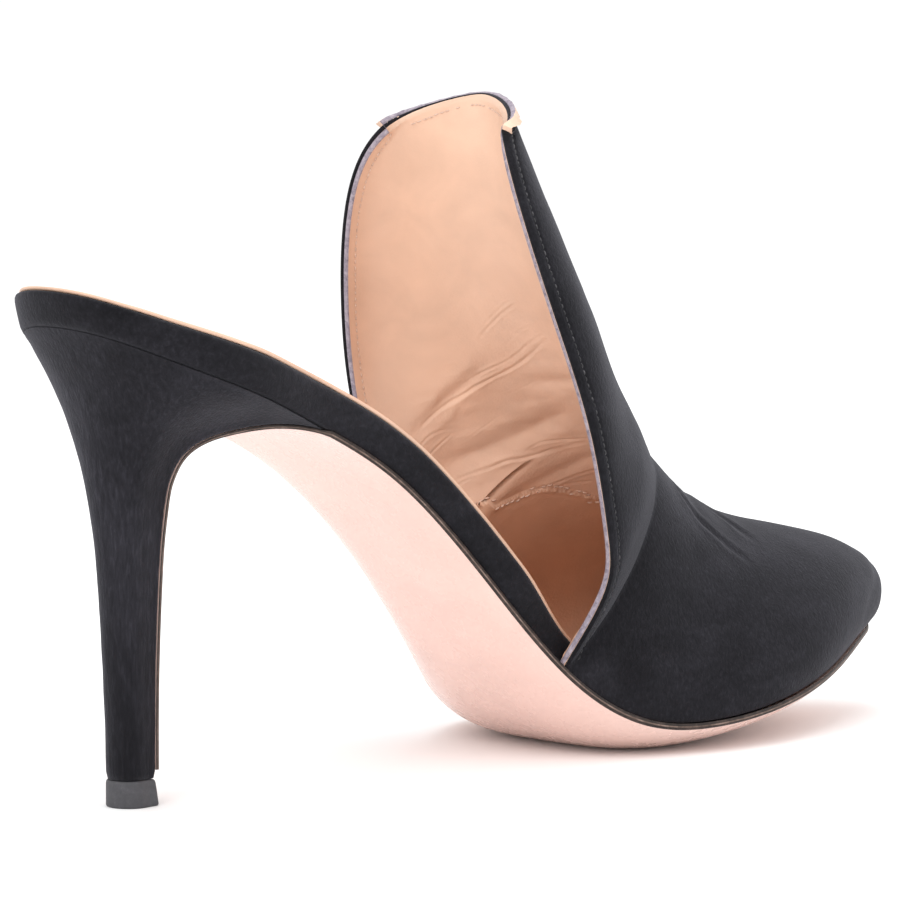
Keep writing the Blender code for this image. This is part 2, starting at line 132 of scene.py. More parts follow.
Ring = namedtuple("Ring", "back_x back_z front_x front_z front_half widest seat")
RINGS = [
    # Heel sections, bottom to top: the back point, the breast corner's position, its half
    # width, the greatest half-width, and how far the outline has turned from the column's
    # D (0) into the seat's U (1).
    Ring(13.0, HEEL_FOOT, 20.6, HEEL_FOOT, 3.9, 4.4, 0.00),
    Ring(12.7, 25.0, 20.9, 25.0, 4.2, 4.7, 0.00),
    Ring(11.7, 45.0, 21.7, 45.0, 4.9, 5.2, 0.00),
    Ring(10.8, 54.0, 22.3, 53.0, 5.4, 5.9, 0.02),
    Ring(9.9, 61.0, 22.9, 58.8, 6.0, 7.0, 0.08),
    Ring(9.0, 67.0, 23.6, 62.2, 6.7, 8.7, 0.18),
    Ring(8.1, 72.0, 24.8, 65.4, 7.8, 10.8, 0.32),
    Ring(7.0, 76.5, 27.4, 68.0, 8.9, 13.2, 0.46),
    Ring(5.8, 80.5, 31.3, 69.7, 10.2, 15.9, 0.60),
    Ring(4.4, 84.0, 36.0, 70.8, 12.4, 18.4, 0.73),
    Ring(3.0, 87.1, 41.0, 71.4, 15.2, 20.9, 0.85),
    Ring(1.7, 89.6, 45.8, 71.1, 17.9, 22.4, 0.94),
    Ring(0.6, 91.4, 49.9, 70.1, 19.5, 23.8, 1.00),
]


# ---------------------------------------------------------------- curves

def spline(xs, ys):
    """Natural cubic through the rows of a table."""
    xs = np.asarray(xs, float)
    ys = np.asarray(ys, float)
    n = len(xs)
    h = np.diff(xs)
    a = np.zeros((n, n))
    r = np.zeros(n)
    a[0, 0] = a[-1, -1] = 1.0
    for i in range(1, n - 1):
        a[i, i - 1], a[i, i], a[i, i + 1] = h[i - 1], 2 * (h[i - 1] + h[i]), h[i]
        r[i] = 6 * ((ys[i + 1] - ys[i]) / h[i] - (ys[i] - ys[i - 1]) / h[i - 1])
    m = np.linalg.solve(a, r)

    def at(x, slope=False):
        x = np.asarray(x, float)
        i = np.clip(np.searchsorted(xs, x) - 1, 0, n - 2)
        d, p, q = h[i], xs[i + 1] - x, x - xs[i]
        if slope:
            return ((m[i + 1] * q ** 2 - m[i] * p ** 2) / (2 * d)
                    + (ys[i + 1] - ys[i]) / d - (m[i + 1] - m[i]) * d / 6)
        return ((m[i] * p ** 3 + m[i + 1] * q ** 3) / (6 * d)
                + (ys[i] / d - m[i] * d / 6) * p + (ys[i + 1] / d - m[i + 1] * d / 6) * q)

    return at


def smooth(start, end, x):
    t = np.clip((np.asarray(x, float) - start) / (end - start), 0, 1)
    return t * t * (3 - 2 * t)


def column(table, name):
    return [getattr(row, name) for row in table]


feather = spline(column(SOLE, "x"), column(SOLE, "feather"))
outer_half = spline(column(SOLE, "x"), column(SOLE, "outer"))
inner_half = spline(column(SOLE, "x"), column(SOLE, "inner"))


def halves(x):
    """Half-widths of the sole's outline to the outer and the inner side."""
    x = np.asarray(x, float)
    heel = np.clip((HEEL_ROUND - x) / HEEL_ROUND, 0, 1)
    toe = np.clip((x - (SOLE_LENGTH - TOE_ROUND)) / TOE_ROUND, 0, 1)
    rounding = ((1 - heel ** HEEL_ROUND_POWER) ** (1 / HEEL_ROUND_POWER)
                * np.sqrt(np.clip(1 - toe ** 2, 0, 1)))
    middle = (inner_half(x) - outer_half(x)) / 2
    half = (inner_half(x) + outer_half(x)) / 2 * rounding
    return half - middle, half + middle


def sag(x):
    return FOREFOOT_SAG * smooth(70, 125, x) * (1 - 0.9 * smooth(160, 212, x))


def lean(x):
    """Angle from the vertical, towards the toe, in which the footbed's layers are stacked."""
    square = smooth(0, LEAN_BLEND, x)
    return -np.arctan(feather(x, True)) * square + BACK_LEAN * (1 - square)


def bowed(x, y):
    """How far the footbed lies below its feather line at this point."""
    outer, inner = halves(x)
    v = np.where(y < 0, -y / np.maximum(outer, 1e-6), y / np.maximum(inner, 1e-6))
    return sag(x) * (1 - np.clip(np.abs(v), 0, 1) ** SAG_POWER)


def layer(x, y, height):
    """A point of the footbed raised by height along the stacking direction."""
    a = lean(x)
    return np.stack([x + height * np.sin(a), y, feather(x) - bowed(x, y) + height * np.cos(a)], -1)


def outline(count, inset=0.0):
    """Outline of the sole set in by inset (a number or a function of x): the outer side's and
    the inner side's points, station by station, the two meeting at the heel and at the toe."""
    x = SOLE_LENGTH * (1 - np.cos(np.linspace(0, np.pi, count))) / 2
    outer, inner = halves(x)
    loop = np.concatenate([np.stack([x, -outer], 1), np.stack([x, inner], 1)[-2:0:-1]])
    run = np.roll(loop, -1, 0) - np.roll(loop, 1, 0)
    run /= np.linalg.norm(run, axis=1)[:, None]
    into = np.stack([-run[:, 1], run[:, 0]], 1)
    depth = inset(loop[:, 0]) if callable(inset) else inset
    loop = loop + into * np.reshape(depth, (-1, 1))
    return loop[:count], np.roll(loop, -1, 0)[::-1][:count]


# ---------------------------------------------------------------- upper

def edge_curve(name, odd):
    values = column(OPENING, name)
    mirrored = [-v if odd else v for v in values[:0:-1]]
    ts = column(OPENING, "t")
    return spline([-t for t in ts[:0:-1]] + ts, mirrored + values)


edge_x, edge_z = edge_curve("x", False), edge_curve("z", False)
edge_half = {-1: edge_curve("outer", True), 1: edge_curve("inner", True)}


def opening(t, side):
    """The free edge; side is -1 for the outer and +1 for the inner side."""
    return np.array([edge_x(t), side * edge_half[side](t), edge_z(t)])


def hoop_value(name):
    return spline(column(HOOPS, "s"), column(HOOPS, name))


ridge_x, ridge_y, ridge_z = hoop_value("ridge_x"), hoop_value("ridge_y"), hoop_value("ridge_z")
side_handle, top_handle = hoop_value("side"), hoop_value("top")
lean_out = {-1: hoop_value("out_outer"), 1: hoop_value("out_inner")}
hoop_foot = spline(range(CORNER + 1), column(HOOPS[:CORNER + 1], "foot"))
hoop_edge = spline(range(CORNER, LAST_HOOP + 1), column(HOOPS[CORNER:], "edge"))


def upper_foot(x, side):
    outer, inner = halves(x)
    y = -(outer - UPPER_INSET) if side < 0 else inner - UPPER_INSET
    return np.array([x, y, feather(x) + GAP])


def half_hoop(s, side, fineness=60):
    """One half section, from the sole or the opening up to the ridge."""
    start = upper_foot(hoop_foot(s), side) if s <= CORNER else opening(hoop_edge(s), side)
    ridge = np.array([ridge_x(s), ridge_y(s), ridge_z(s)])
    leave = ridge - start
    leave[1] = 0
    leave /= np.linalg.norm(leave)
    leave[1] = side * lean_out[side](s)
    leave /= np.linalg.norm(leave)
    first = start + side_handle(s) * leave
    second = ridge + np.array([0, side * top_handle(s), 0])
    t = np.linspace(0, 1, fineness)[:, None]
    return ((1 - t) ** 3 * start + 3 * (1 - t) ** 2 * t * first
            + 3 * (1 - t) * t ** 2 * second + t ** 3 * ridge)


def even(curve, fractions):
    run = np.concatenate([[0], np.cumsum(np.linalg.norm(np.diff(curve, axis=0), axis=1))])
    return np.stack([np.interp(np.asarray(fractions) * run[-1], run, curve[:, k]) for k in range(3)], 1)


def upper_grid(stations, across):
    """Outer face of the upper: a row per station, from the outer side over the ridge to the inner."""
    share = np.linspace(0, 1, across + 1)
    rows = []
    for s in stations:
        rows.append(np.concatenate([even(half_hoop(s, -1), share), even(half_hoop(s, 1), share)[-2::-1]]))
    return np.array(rows)


def grid_normals(grid):
    along = np.gradient(grid, axis=0)
    across = np.gradient(grid, axis=1)
    n = np.cross(across, along)
    n /= np.maximum(np.linalg.norm(n, axis=2), 1e-9)[..., None]
    return n


# ---------------------------------------------------------------- heel

def ring_value(name):
    return spline(range(len(RINGS)), column(RINGS, name))


RING = {name: ring_value(name) for name in Ring._fields}
D_BACK = 0.52           # share of the column's depth taken by its round back
SEAT_END = RINGS[-1].front_x


def column_d(q):
    """Half-width of the heel column at a share q of its depth, back to front, with 1 the widest."""
    u = np.clip((D_BACK - q) / D_BACK, 0, 1)
    return (1 - u ** 2) ** 0.5


def seat_u(q):
    """The same for the heel seat."""
    outer, inner = halves(SEAT_END * q)
    widest = max(halves(np.linspace(0, SEAT_END, 60))[0])
    return (outer + inner) / 2 / widest


def heel_ring(k, q):
    """Outer-side half of heel section k at the shares q of its depth; mirrored for the inner side."""
    g = {name: float(f(k)) for name, f in RING.items()}
    shape = (1 - g["seat"]) * column_d(q) + g["seat"] * seat_u(q)
    front = (1 - g["seat"]) * 1.0 + g["seat"] * float(seat_u(1.0))
    y = g["widest"] * shape
    y = y * (1 + (g["front_half"] / (g["widest"] * front) - 1) * smooth(0.35, 1.0, q))
    x = g["back_x"] + (g["front_x"] - g["back_x"]) * q
    z = g["back_z"] + (g["front_z"] - g["back_z"]) * q
    level = feather(x)
    chord = level[0] + (level[-1] - level[0]) * q
    return np.stack([x, -y, z + g["seat"] ** 2 * (level - chord)], -1)


def depth_shares(count):
    """Shares of the depth from 0 to 1, closer together at the round back."""
    return 1 - np.cos(np.linspace(0, np.pi / 2, count))


def breast(k, lift=0.0):
    """The breast corner of heel section k, moved off the breast by lift: x, half-width, z."""
    slant = np.array([float(RING["front_z"](k, True)), -float(RING["front_x"](k, True))])
    slant /= np.linalg.norm(slant)
    return (float(RING["front_x"](k)) + lift * slant[0], float(RING["front_half"](k)),
            float(RING["front_z"](k)) + lift * slant[1])


# ---------------------------------------------------------------- helpers

CENTRE = np.array([106.492, 1.766, 0.0])
METRE = 0.001


def place(points):
    return (np.asarray(points, float) - CENTRE) * METRE


def wave(p, period, seed):
    """Smooth noise between about -1 and 1 at points p (..., 3), in millimetres."""
    p = np.asarray(p, float)
    total = np.zeros(p.shape[:-1])
    for k in range(5):
        a = 1.7 * k + 2.3 * seed
        d = np.array([math.cos(a) * math.cos(0.7 * a), math.sin(a) * math.cos(0.7 * a), math.sin(0.7 * a)])
        e = np.array([math.sin(1.9 * a), math.cos(2.3 * a), math.sin(3.1 * a + 1)])
        f = 2 * math.pi / (period * (0.72 + 0.14 * k))
        total += np.sin(p @ d * f + 1.3 * a + 1.1 * np.sin(p @ e * f * 0.6 + a))
    return total / 3.2


def grid_faces(rows, cols, start=0, wrap=False):
    i, j = np.meshgrid(np.arange(rows - 1), np.arange(cols if wrap else cols - 1), indexing="ij")
    k = (j + 1) % cols
    return (start + np.stack([i * cols + j, i * cols + k, (i + 1) * cols + k, (i + 1) * cols + j], -1)).reshape(-1, 4)


def make_mesh(name, points, quads, material, extra=None, smooth_shade=True):
    """An object from points in millimetres. extra is a list of (faces, material)."""
    materials = [material]
    index = [np.zeros(len(quads), int)]
    parts = [np.asarray(quads)]
    for faces, other in extra or []:
        if other not in materials:
            materials.append(other)
        parts.append(np.asarray(faces))
        index.append(np.full(len(faces), materials.index(other)))
    faces = np.concatenate(parts)
    index = np.concatenate(index)
    mesh = bpy.data.meshes.new(name)
    mesh.from_pydata(place(points).tolist(), [], [list(dict.fromkeys(f)) for f in faces.tolist()])
    mesh.polygons.foreach_set("material_index", index.astype(np.int32))
    mesh.polygons.foreach_set("use_smooth", np.full(len(faces), smooth_shade))
    for m in materials:
        mesh.materials.append(m)
    mesh.update()
    obj = bpy.data.objects.new(name, mesh)
    bpy.context.scene.collection.objects.link(obj)
    return obj


def finish_piece(obj, slot, *nodes, weld=True):
    """Welds, turns the faces outwards, and puts the piece on the frame."""
    import bmesh
    if weld:
        bm = bmesh.new()
        bm.from_mesh(obj.data)
        bmesh.ops.remove_doubles(bm, verts=bm.verts, dist=2e-6)
        bmesh.ops.dissolve_degenerate(bm, edges=bm.edges, dist=1e-7)
        bmesh.ops.recalc_face_normals(bm, faces=bm.faces)
        bm.to_mesh(obj.data)
        bm.free()
    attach(obj, "root")
    if nodes:
        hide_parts(*nodes)
    return obj


def vertex_normals(grid):
    """Unit normals of a grid, averaged from its faces so that a pinched corner stays tidy."""
    a, b = grid[1:, 1:] - grid[:-1, :-1], grid[1:, :-1] - grid[:-1, 1:]
    f = np.cross(a, b)
    n = np.zeros_like(grid)
    for di in (0, 1):
        for dj in (0, 1):
            n[di:di + f.shape[0], dj:dj + f.shape[1]] += f
    n /= np.maximum(np.linalg.norm(n, axis=2), 1e-12)[..., None]
    return n


def smoothed(values, times):
    v = values.copy()
    for _ in range(times):
        v[1:-1] = (v[:-2] + 2 * v[1:-1] + v[2:]) / 4
    return v


# ---------------------------------------------------------------- materials

def new_material(name, colour, roughness, specular=0.5):
    m = bpy.data.materials.new(name)
    m.use_nodes = True
    b = m.node_tree.nodes["Principled BSDF"]
    b.inputs["Base Color"].default_value = (*colour, 1)
    b.inputs["Roughness"].default_value = roughness
    b.inputs["Specular IOR Level"].default_value = specular
    return m, m.node_tree, b


def tex_coords(tree, scale=(1, 1, 1), rotation=(0, 0, 0)):
    t = tree.nodes.new("ShaderNodeTexCoord")
    m = tree.nodes.new("ShaderNodeMapping")
    m.inputs["Scale"].default_value = scale
    m.inputs["Rotation"].default_value = rotation
    tree.links.new(t.outputs["Object"], m.inputs["Vector"])
    return m.outputs["Vector"]


def noise(tree, vector, scale, detail=2.0, rough=0.5, distortion=0.0):
    n = tree.nodes.new("ShaderNodeTexNoise")
    n.inputs["Scale"].default_value = scale
    n.inputs["Detail"].default_value = detail
    n.inputs["Roughness"].default_value = rough
    n.inputs["Distortion"].default_value = distortion
    tree.links.new(vector, n.inputs["Vector"])
    return n.outputs["Fac"]


def ramp(tree, fac, *stops):
    r = tree.nodes.new("ShaderNodeValToRGB")
    while len(r.color_ramp.elements) < len(stops):
        r.color_ramp.elements.new(0.5)
    for e, (position, colour) in zip(r.color_ramp.elements, stops):
        e.position = position
        e.color = (*colour, 1) if len(colour) == 3 else colour
    tree.links.new(fac, r.inputs["Fac"])
    return r.outputs["Color"]


def mix(tree, kind, fac, a, b):
    m = tree.nodes.new("ShaderNodeMix")
    m.data_type = "RGBA"
    m.blend_type = kind
    for socket, value in ((m.inputs[0], fac), (m.inputs[6], a), (m.inputs[7], b)):
        if isinstance(value, bpy.types.NodeSocket):
            tree.links.new(value, socket)
        elif isinstance(value, tuple):
            socket.default_value = (*value, 1)
        else:
            socket.default_value = value
    return m.outputs[2]


def math_node(tree, operation, a, b=None, clamp=False):
    m = tree.nodes.new("ShaderNodeMath")
    m.operation = operation
    m.use_clamp = clamp
    for socket, value in zip(m.inputs, (a, b)):
        if isinstance(value, bpy.types.NodeSocket):
            tree.links.new(value, socket)
        elif value is not None:
            socket.default_value = value
    return m.outputs[0]


def bump(tree, shader, height, distance, strength=1.0, below=None):
    b = tree.nodes.new("ShaderNodeBump")
    b.inputs["Strength"].default_value = strength
    b.inputs["Distance"].default_value = distance
    tree.links.new(height, b.inputs["Height"])
    if below is not None:
        tree.links.new(below, b.inputs["Normal"])
    if shader is not None:
        tree.links.new(b.outputs["Normal"], shader.inputs["Normal"])
    return b.outputs["Normal"]


def grey(v, tint=(1.0, 0.985, 1.06)):
    return tuple(v * t for t in tint)


def suede(name, level=1.0, nap=(1, 1, 1)):
    """Black suede: a short nap that turns the light in soft brushed patches."""
    m, tree, b = new_material(name, grey(0.012), 0.95, 0.12)
    v = tex_coords(tree)
    brushed = tex_coords(tree, nap)
    patches = noise(tree, brushed, 55, 3.0, 0.55, 0.6)
    broad = noise(tree, v, 17, 2.0, 0.5, 0.3)
    grain = noise(tree, v, 2600, 2.0, 0.6)
    fibres = noise(tree, tex_coords(tree, (nap[0] * 1.0, nap[1] * 1.0, nap[2] * 0.35)), 1500, 3.0, 0.65, 0.4)
    tone = ramp(tree, patches, (0.30, grey(0.0075 * level)), (0.52, grey(0.0115 * level)), (0.74, grey(0.0185 * level)))
    tone2 = ramp(tree, broad, (0.30, grey(0.80)), (0.70, grey(1.22)))
    tone = mix(tree, "MULTIPLY", 1.0, tone, tone2)
    tone3 = ramp(tree, fibres, (0.30, grey(0.62)), (0.55, grey(1.0)), (0.80, grey(1.75)))
    tone = mix(tree, "MULTIPLY", 1.0, tone, tone3)
    tree.links.new(tone, b.inputs["Base Color"])
    b.inputs["Sheen Weight"].default_value = 0.16
    b.inputs["Sheen Roughness"].default_value = 0.45
    b.inputs["Sheen Tint"].default_value = (0.82, 0.82, 0.92, 1)
    n = bump(tree, None, fibres, 0.00018, 0.75)
    bump(tree, b, grain, 0.00010, 0.6, n)
    return m


def leather(name, colour, roughness, grain_size=1700, grain_depth=0.00003, mottled=0.06, specular=0.4, dark=(0.86, 0.80, 0.76)):
    """Smooth leather with fine pores and a slightly uneven dye."""
    m, tree, b = new_material(name, colour, roughness, specular)
    v = tex_coords(tree)
    dye = noise(tree, v, 70, 3.0, 0.6, 0.4)
    base = ramp(tree, dye, (0.30, tuple(c * (1 - mottled * 1.4) for c in colour)), (0.70, tuple(min(1, c * (1 + mottled)) for c in colour)))
    broad = ramp(tree, noise(tree, v, 22, 2.0, 0.5, 0.5), (0.32, dark), (0.60, (1.0, 1.0, 1.0)))
    base = mix(tree, "MULTIPLY", 0.35, base, broad)
    tree.links.new(base, b.inputs["Base Color"])
    cells = tree.nodes.new("ShaderNodeTexVoronoi")
    cells.feature = "F1"
    cells.inputs["Scale"].default_value = grain_size
    tree.links.new(v, cells.inputs["Vector"])
    fine = noise(tree, v, grain_size * 1.6, 2.0, 0.6)
    height = math_node(tree, "ADD", cells.outputs["Distance"], fine)
    r = ramp(tree, noise(tree, v, 240, 3.0, 0.6), (0.30, (roughness * 0.86,) * 3), (0.70, (min(1, roughness * 1.16),) * 3))
    tree.links.new(r, b.inputs["Roughness"])
    low = bump(tree, None, noise(tree, v, 260, 3.0, 0.55), 0.00009, 0.5)
    bump(tree, b, height, grain_depth, 0.8, low)
    return m


BLACK_SUEDE = suede("suede_black", 1.0, (1.0, 1.0, 1.7))
BAND_SUEDE = suede("suede_band", 1.05, (0.55, 1.0, 1.8))
# The heel cover is the same black suede as the upper; its 1.3 times lighter base colour is painted light on the heel
# column.
HEEL_SUEDE_LIT = suede("suede_heel_lit", 1.30, (1.0, 1.0, 0.5))
LINING = leather("lining_leather", (0.80, 0.545, 0.405), 0.42)
# The toe lining is the same leather as the lining; its darker, browner colour is painted shade deep in the toe.
TOE_LINING_SHADED = leather("toe_lining_painted_shade", (0.72, 0.44, 0.30), 0.55)
SOCK_LEATHER = leather("sock_leather", (0.76, 0.50, 0.365), 0.45)
SOLE_LEATHER = leather("sole_leather", (0.86, 0.605, 0.535), 0.27, 900, 0.00001, 0.03, 0.5, (0.97, 0.93, 0.92))


def raw_edge(name, tones, roughness=0.7, scale=900):
    m, tree, b = new_material(name, tones[1], roughness, 0.3)
    v = tex_coords(tree)
    f = noise(tree, v, scale, 4.0, 0.7, 0.5)
    c = ramp(tree, f, (0.25, tones[0]), (0.5, tones[1]), (0.78, tones[2]))
    tree.links.new(c, b.inputs["Base Color"])
    bump(tree, b, f, 0.00012, 0.7)
    return m


LINING_EDGE = raw_edge("lining_cut_edge", ((0.12, 0.10, 0.13), (0.30, 0.26, 0.31), (0.50, 0.44, 0.47)))
SOLE_EDGE_DARK = raw_edge("sole_edge_dark", ((0.012, 0.009, 0.008), (0.030, 0.021, 0.018), (0.09, 0.06, 0.05)), 0.5, 500)
SOLE_EDGE_TAN = raw_edge("sole_edge_tan", ((0.05, 0.032, 0.026), (0.15, 0.10, 0.08), (0.34, 0.24, 0.20)), 0.55, 420)
FLAP_EDGE = raw_edge("flap_edge", ((0.03, 0.03, 0.032), (0.10, 0.095, 0.10), (0.40, 0.37, 0.37)), 0.6, 420)
THREAD_PALE = raw_edge("thread_pale", ((0.46, 0.30, 0.22), (0.70, 0.50, 0.40), (0.86, 0.70, 0.60)), 0.6, 3000)
THREAD_DARK = raw_edge("thread_dark", ((0.012, 0.012, 0.014), (0.035, 0.035, 0.038), (0.16, 0.15, 0.16)), 0.6, 900)
LINT = raw_edge("lint", ((0.35, 0.35, 0.36), (0.60, 0.60, 0.62), (0.85, 0.85, 0.88)), 0.9, 600)


def rubber():
    m, tree, b = new_material("rubber", (0.062, 0.060, 0.066), 0.62, 0.4)
    v = tex_coords(tree)
    f = noise(tree, v, 900, 4.0, 0.7)
    c = ramp(tree, f, (0.3, (0.050, 0.049, 0.055)), (0.6, (0.066, 0.064, 0.071)), (0.8, (0.095, 0.093, 0.10)))
    scuffs = ramp(tree, noise(tree, tex_coords(tree, (1, 1, 0.25)), 420, 4.0, 0.7, 1.5), (0.62, (0, 0, 0)), (0.80, (1, 1, 1)))
    c = mix(tree, "MIX", math_node(tree, "MULTIPLY", scuffs, 0.35), c, (0.20, 0.20, 0.21))
    tree.links.new(c, b.inputs["Base Color"])
    bump(tree, b, f, 0.00008, 0.5)
    return m


RUBBER = rubber()


# ---------------------------------------------------------------- upper

SUEDE_THICK = 0.85
EDGE_ROLL = 0.38


def stations(fine, coarse, busy=(5.6, 9.9)):
    """Stations over the instep, closer together between the two given."""
    a = np.arange(0, busy[0], coarse)
    b = np.arange(busy[0], busy[1], fine)
    c = np.arange(busy[1], LAST_HOOP, coarse)
    return np.concatenate([a, b, c, [LAST_HOOP]])


Crease = namedtuple("Crease", "width depth rim line")
LINING_CREASES = [
    # Each line runs through (station, girth) points; girth is -1 at the outer edge, 0 on the
    # ridge and 1 at the inner edge. Narrow ones are wear wrinkles, wide ones soft folds.
    Crease(0.55, 0.22, 0.10, ((9.02, 0.68), (8.95, 0.59), (8.80, 0.46), (8.75, 0.39), (8.67, 0.28), (8.72, 0.16), (9.0, 0.02))),
    Crease(0.40, 0.13, 0.06, ((8.93, 0.45), (8.86, 0.33), (8.82, 0.22), (8.95, 0.12), (9.08, 0.03))),
    Crease(0.45, 0.14, 0.08, ((9.36, 0.32), (9.52, 0.21), (9.64, 0.11))),
    Crease(0.35, 0.10, 0.06, ((9.46, 0.30), (9.62, 0.20), (9.72, 0.12))),
    Crease(0.45, 0.15, 0.08, ((8.86, 0.72), (8.80, 0.65), (8.62, 0.58), (8.42, 0.53))),
    Crease(0.40, 0.10, 0.06, ((8.60, 0.70), (8.52, 0.62), (8.44, 0.56))),
    Crease(0.55, 0.20, 0.10, ((7.68, 0.58), (7.36, 0.43), (7.25, 0.36), (7.10, 0.29), (7.0, 0.18), (6.98, 0.08))),
    Crease(0.40, 0.14, 0.07, ((7.20, 0.29), (7.20, 0.22), (7.06, 0.11), (7.06, 0.02))),
    Crease(0.40, 0.12, 0.06, ((7.60, 0.70), (7.62, 0.62), (7.46, 0.50))),
    Crease(0.50, 0.17, 0.09, ((7.02, 0.45), (6.72, 0.36), (6.52, 0.28), (6.44, 0.19), (6.38, 0.10))),
    Crease(0.40, 0.13, 0.06, ((6.50, 0.31), (6.36, 0.24), (6.16, 0.15))),
    Crease(0.30, 0.06, 0.03, ((8.10, 0.50), (8.02, 0.40), (7.98, 0.30))),
    Crease(0.30, 0.06, 0.03, ((8.28, 0.30), (8.25, 0.20), (8.32, 0.10))),
    Crease(0.30, 0.05, 0.03, ((9.05, 0.22), (9.2, 0.14), (9.25, 0.05))),
    # soft folds
    Crease(3.4, 0.85, 0.30, ((8.05, 0.60), (7.72, 0.46), (7.55, 0.34), (7.5, 0.22), (7.6, 0.10))),
    Crease(2.6, 0.40, 0.15, ((9.05, 0.72), (8.98, 0.58), (8.92, 0.44), (8.98, 0.32))),
    Crease(2.4, 0.30, 0.12, ((6.95, 0.50), (6.75, 0.34), (6.65, 0.20), (6.7, 0.08))),
    Crease(3.0, 0.30, 0.10, ((8.30, 0.20), (8.20, 0.05), (8.3, -0.15), (8.5, -0.4))),
    Crease(0.5, 0.15, 0.08, ((8.70, -0.70), (8.75, -0.5), (8.68, -0.3), (8.75, -0.12))),
    Crease(0.45, 0.14, 0.07, ((7.40, -0.62), (7.25, -0.45), (7.12, -0.3), (7.1, -0.15))),
]
LINING_SEAM = ((7.25, 0.62), (7.05, 0.50), (6.75, 0.37), (6.50, 0.30), (6.10, 0.24), (5.80, 0.20), (5.55, 0.0), (5.80, -0.20),
               (6.10, -0.24), (6.50, -0.30), (6.75, -0.37), (7.05, -0.50), (7.25, -0.62))
SUEDE_CREASES = [
    Crease(1.6, 0.30, 0.15, ((6.35, -0.22), (5.95, -0.30), (5.45, -0.36), (5.0, -0.42))),
    Crease(2.2, 0.30, 0.12, ((5.35, -0.12), (5.0, -0.22), (4.7, -0.30))),
    Crease(2.0, 0.25, 0.10, ((6.35, 0.22), (5.95, 0.30), (5.4, 0.36))),
    Crease(4.0, 0.35, 0.12, ((5.9, 0.35), (5.75, 0.12), (5.75, -0.10), (5.95, -0.35))),
    Crease(3.0, 0.20, 0.08, ((2.2, -0.75), (1.8, -0.45), (1.7, -0.15))),
    Crease(0.7, 0.12, 0.06, ((12.6, -0.55), (12.3, -0.42), (12.05, -0.46))),
    Crease(0.6, 0.10, 0.05, ((11.9, -0.52), (11.5, -0.40))),
]


def line_points(line, grid_at, count=90):
    """Points in space along a crease drawn through (station, girth) points."""
    line = np.array(line)
    if len(line) > 2:
        t = np.arange(len(line))
        s, c = spline(t, line[:, 0]), spline(t, line[:, 1])
        u = np.linspace(0, len(line) - 1, count)
        return grid_at(s(u), c(u))
    u = np.linspace(0, 1, count)[:, None]
    sc = line[0] * (1 - u) + line[1] * u
    return grid_at(sc[:, 0], sc[:, 1])


def sampler(rows, girth, grid):
    """Position on a grid at any (station, girth)."""
    def at(s, c):
        s, c = np.asarray(s, float), np.asarray(c, float)
        i = np.clip(np.interp(s, rows, np.arange(len(rows))), 0, len(rows) - 1.001)
        j = np.clip(np.interp(c, girth, np.arange(len(girth))), 0, len(girth) - 1.001)
        i0, j0 = i.astype(int), j.astype(int)
        a, b = (i - i0)[:, None], (j - j0)[:, None]
        return ((1 - a) * (1 - b) * grid[i0, j0] + a * (1 - b) * grid[i0 + 1, j0]
                + (1 - a) * b * grid[i0, j0 + 1] + a * b * grid[i0 + 1, j0 + 1])
    return at


def distance_to(points, line):
    """Distance from each point to a polyline, and the share of the line's length there."""
    p = points.reshape(-1, 3)
    best = np.full(len(p), 1e9)
    share = np.zeros(len(p))
    low, high = line.min(0) - 14, line.max(0) + 14
    near = np.nonzero(((p > low) & (p < high)).all(1))[0]
    q = p[near]
    d_best, s_best = np.full(len(q), 1e9), np.zeros(len(q))
    for k in range(len(line) - 1):
        a, b = line[k], line[k + 1]
        ab = b - a
        t = np.clip(((q - a) @ ab) / max(ab @ ab, 1e-9), 0, 1)
        d = np.linalg.norm(q - a - t[:, None] * ab, axis=1)
        w = d < d_best
        d_best[w], s_best[w] = d[w], (k + t[w]) / (len(line) - 1)
    best[near], share[near] = d_best, s_best
    return best.reshape(points.shape[:-1]), share.reshape(points.shape[:-1])


def crease_field(points, creases, at):
    """Depth below the surface at each point: a soft trough with a low ridge on either side."""
    depth = np.zeros(points.shape[:-1])
    for k, c in enumerate(creases):
        d, share = distance_to(points, line_points(c.line, at))
        fade = np.sin(np.pi * np.clip(share * 0.94 + 0.03, 0, 1)) ** 0.6
        uneven = 1 + 0.35 * wave(points, 7.0 if c.width < 1 else 25.0, k)
        w = c.width * (1 + 0.2 * wave(points, 5.0, k + 9))
        trough = np.exp(-(d / (0.5 * w)) ** 2)
        ridge = np.exp(-((d - 1.15 * w) / (0.55 * w)) ** 2)
        depth += fade * uneven * (c.depth * trough - c.rim * ridge)
    return depth


def border_loop(rows, cols):
    """The grid's free border: up the outer side of the opening, over the tab, down the inner side, and round the sole."""
    start = 0
    return ([(i, 0) for i in range(start, rows)] + [(rows - 1, j) for j in range(1, cols)]
            + [(i, cols - 1) for i in range(rows - 2, -1, -1)] + [(0, j) for j in range(cols - 2, 0, -1)])


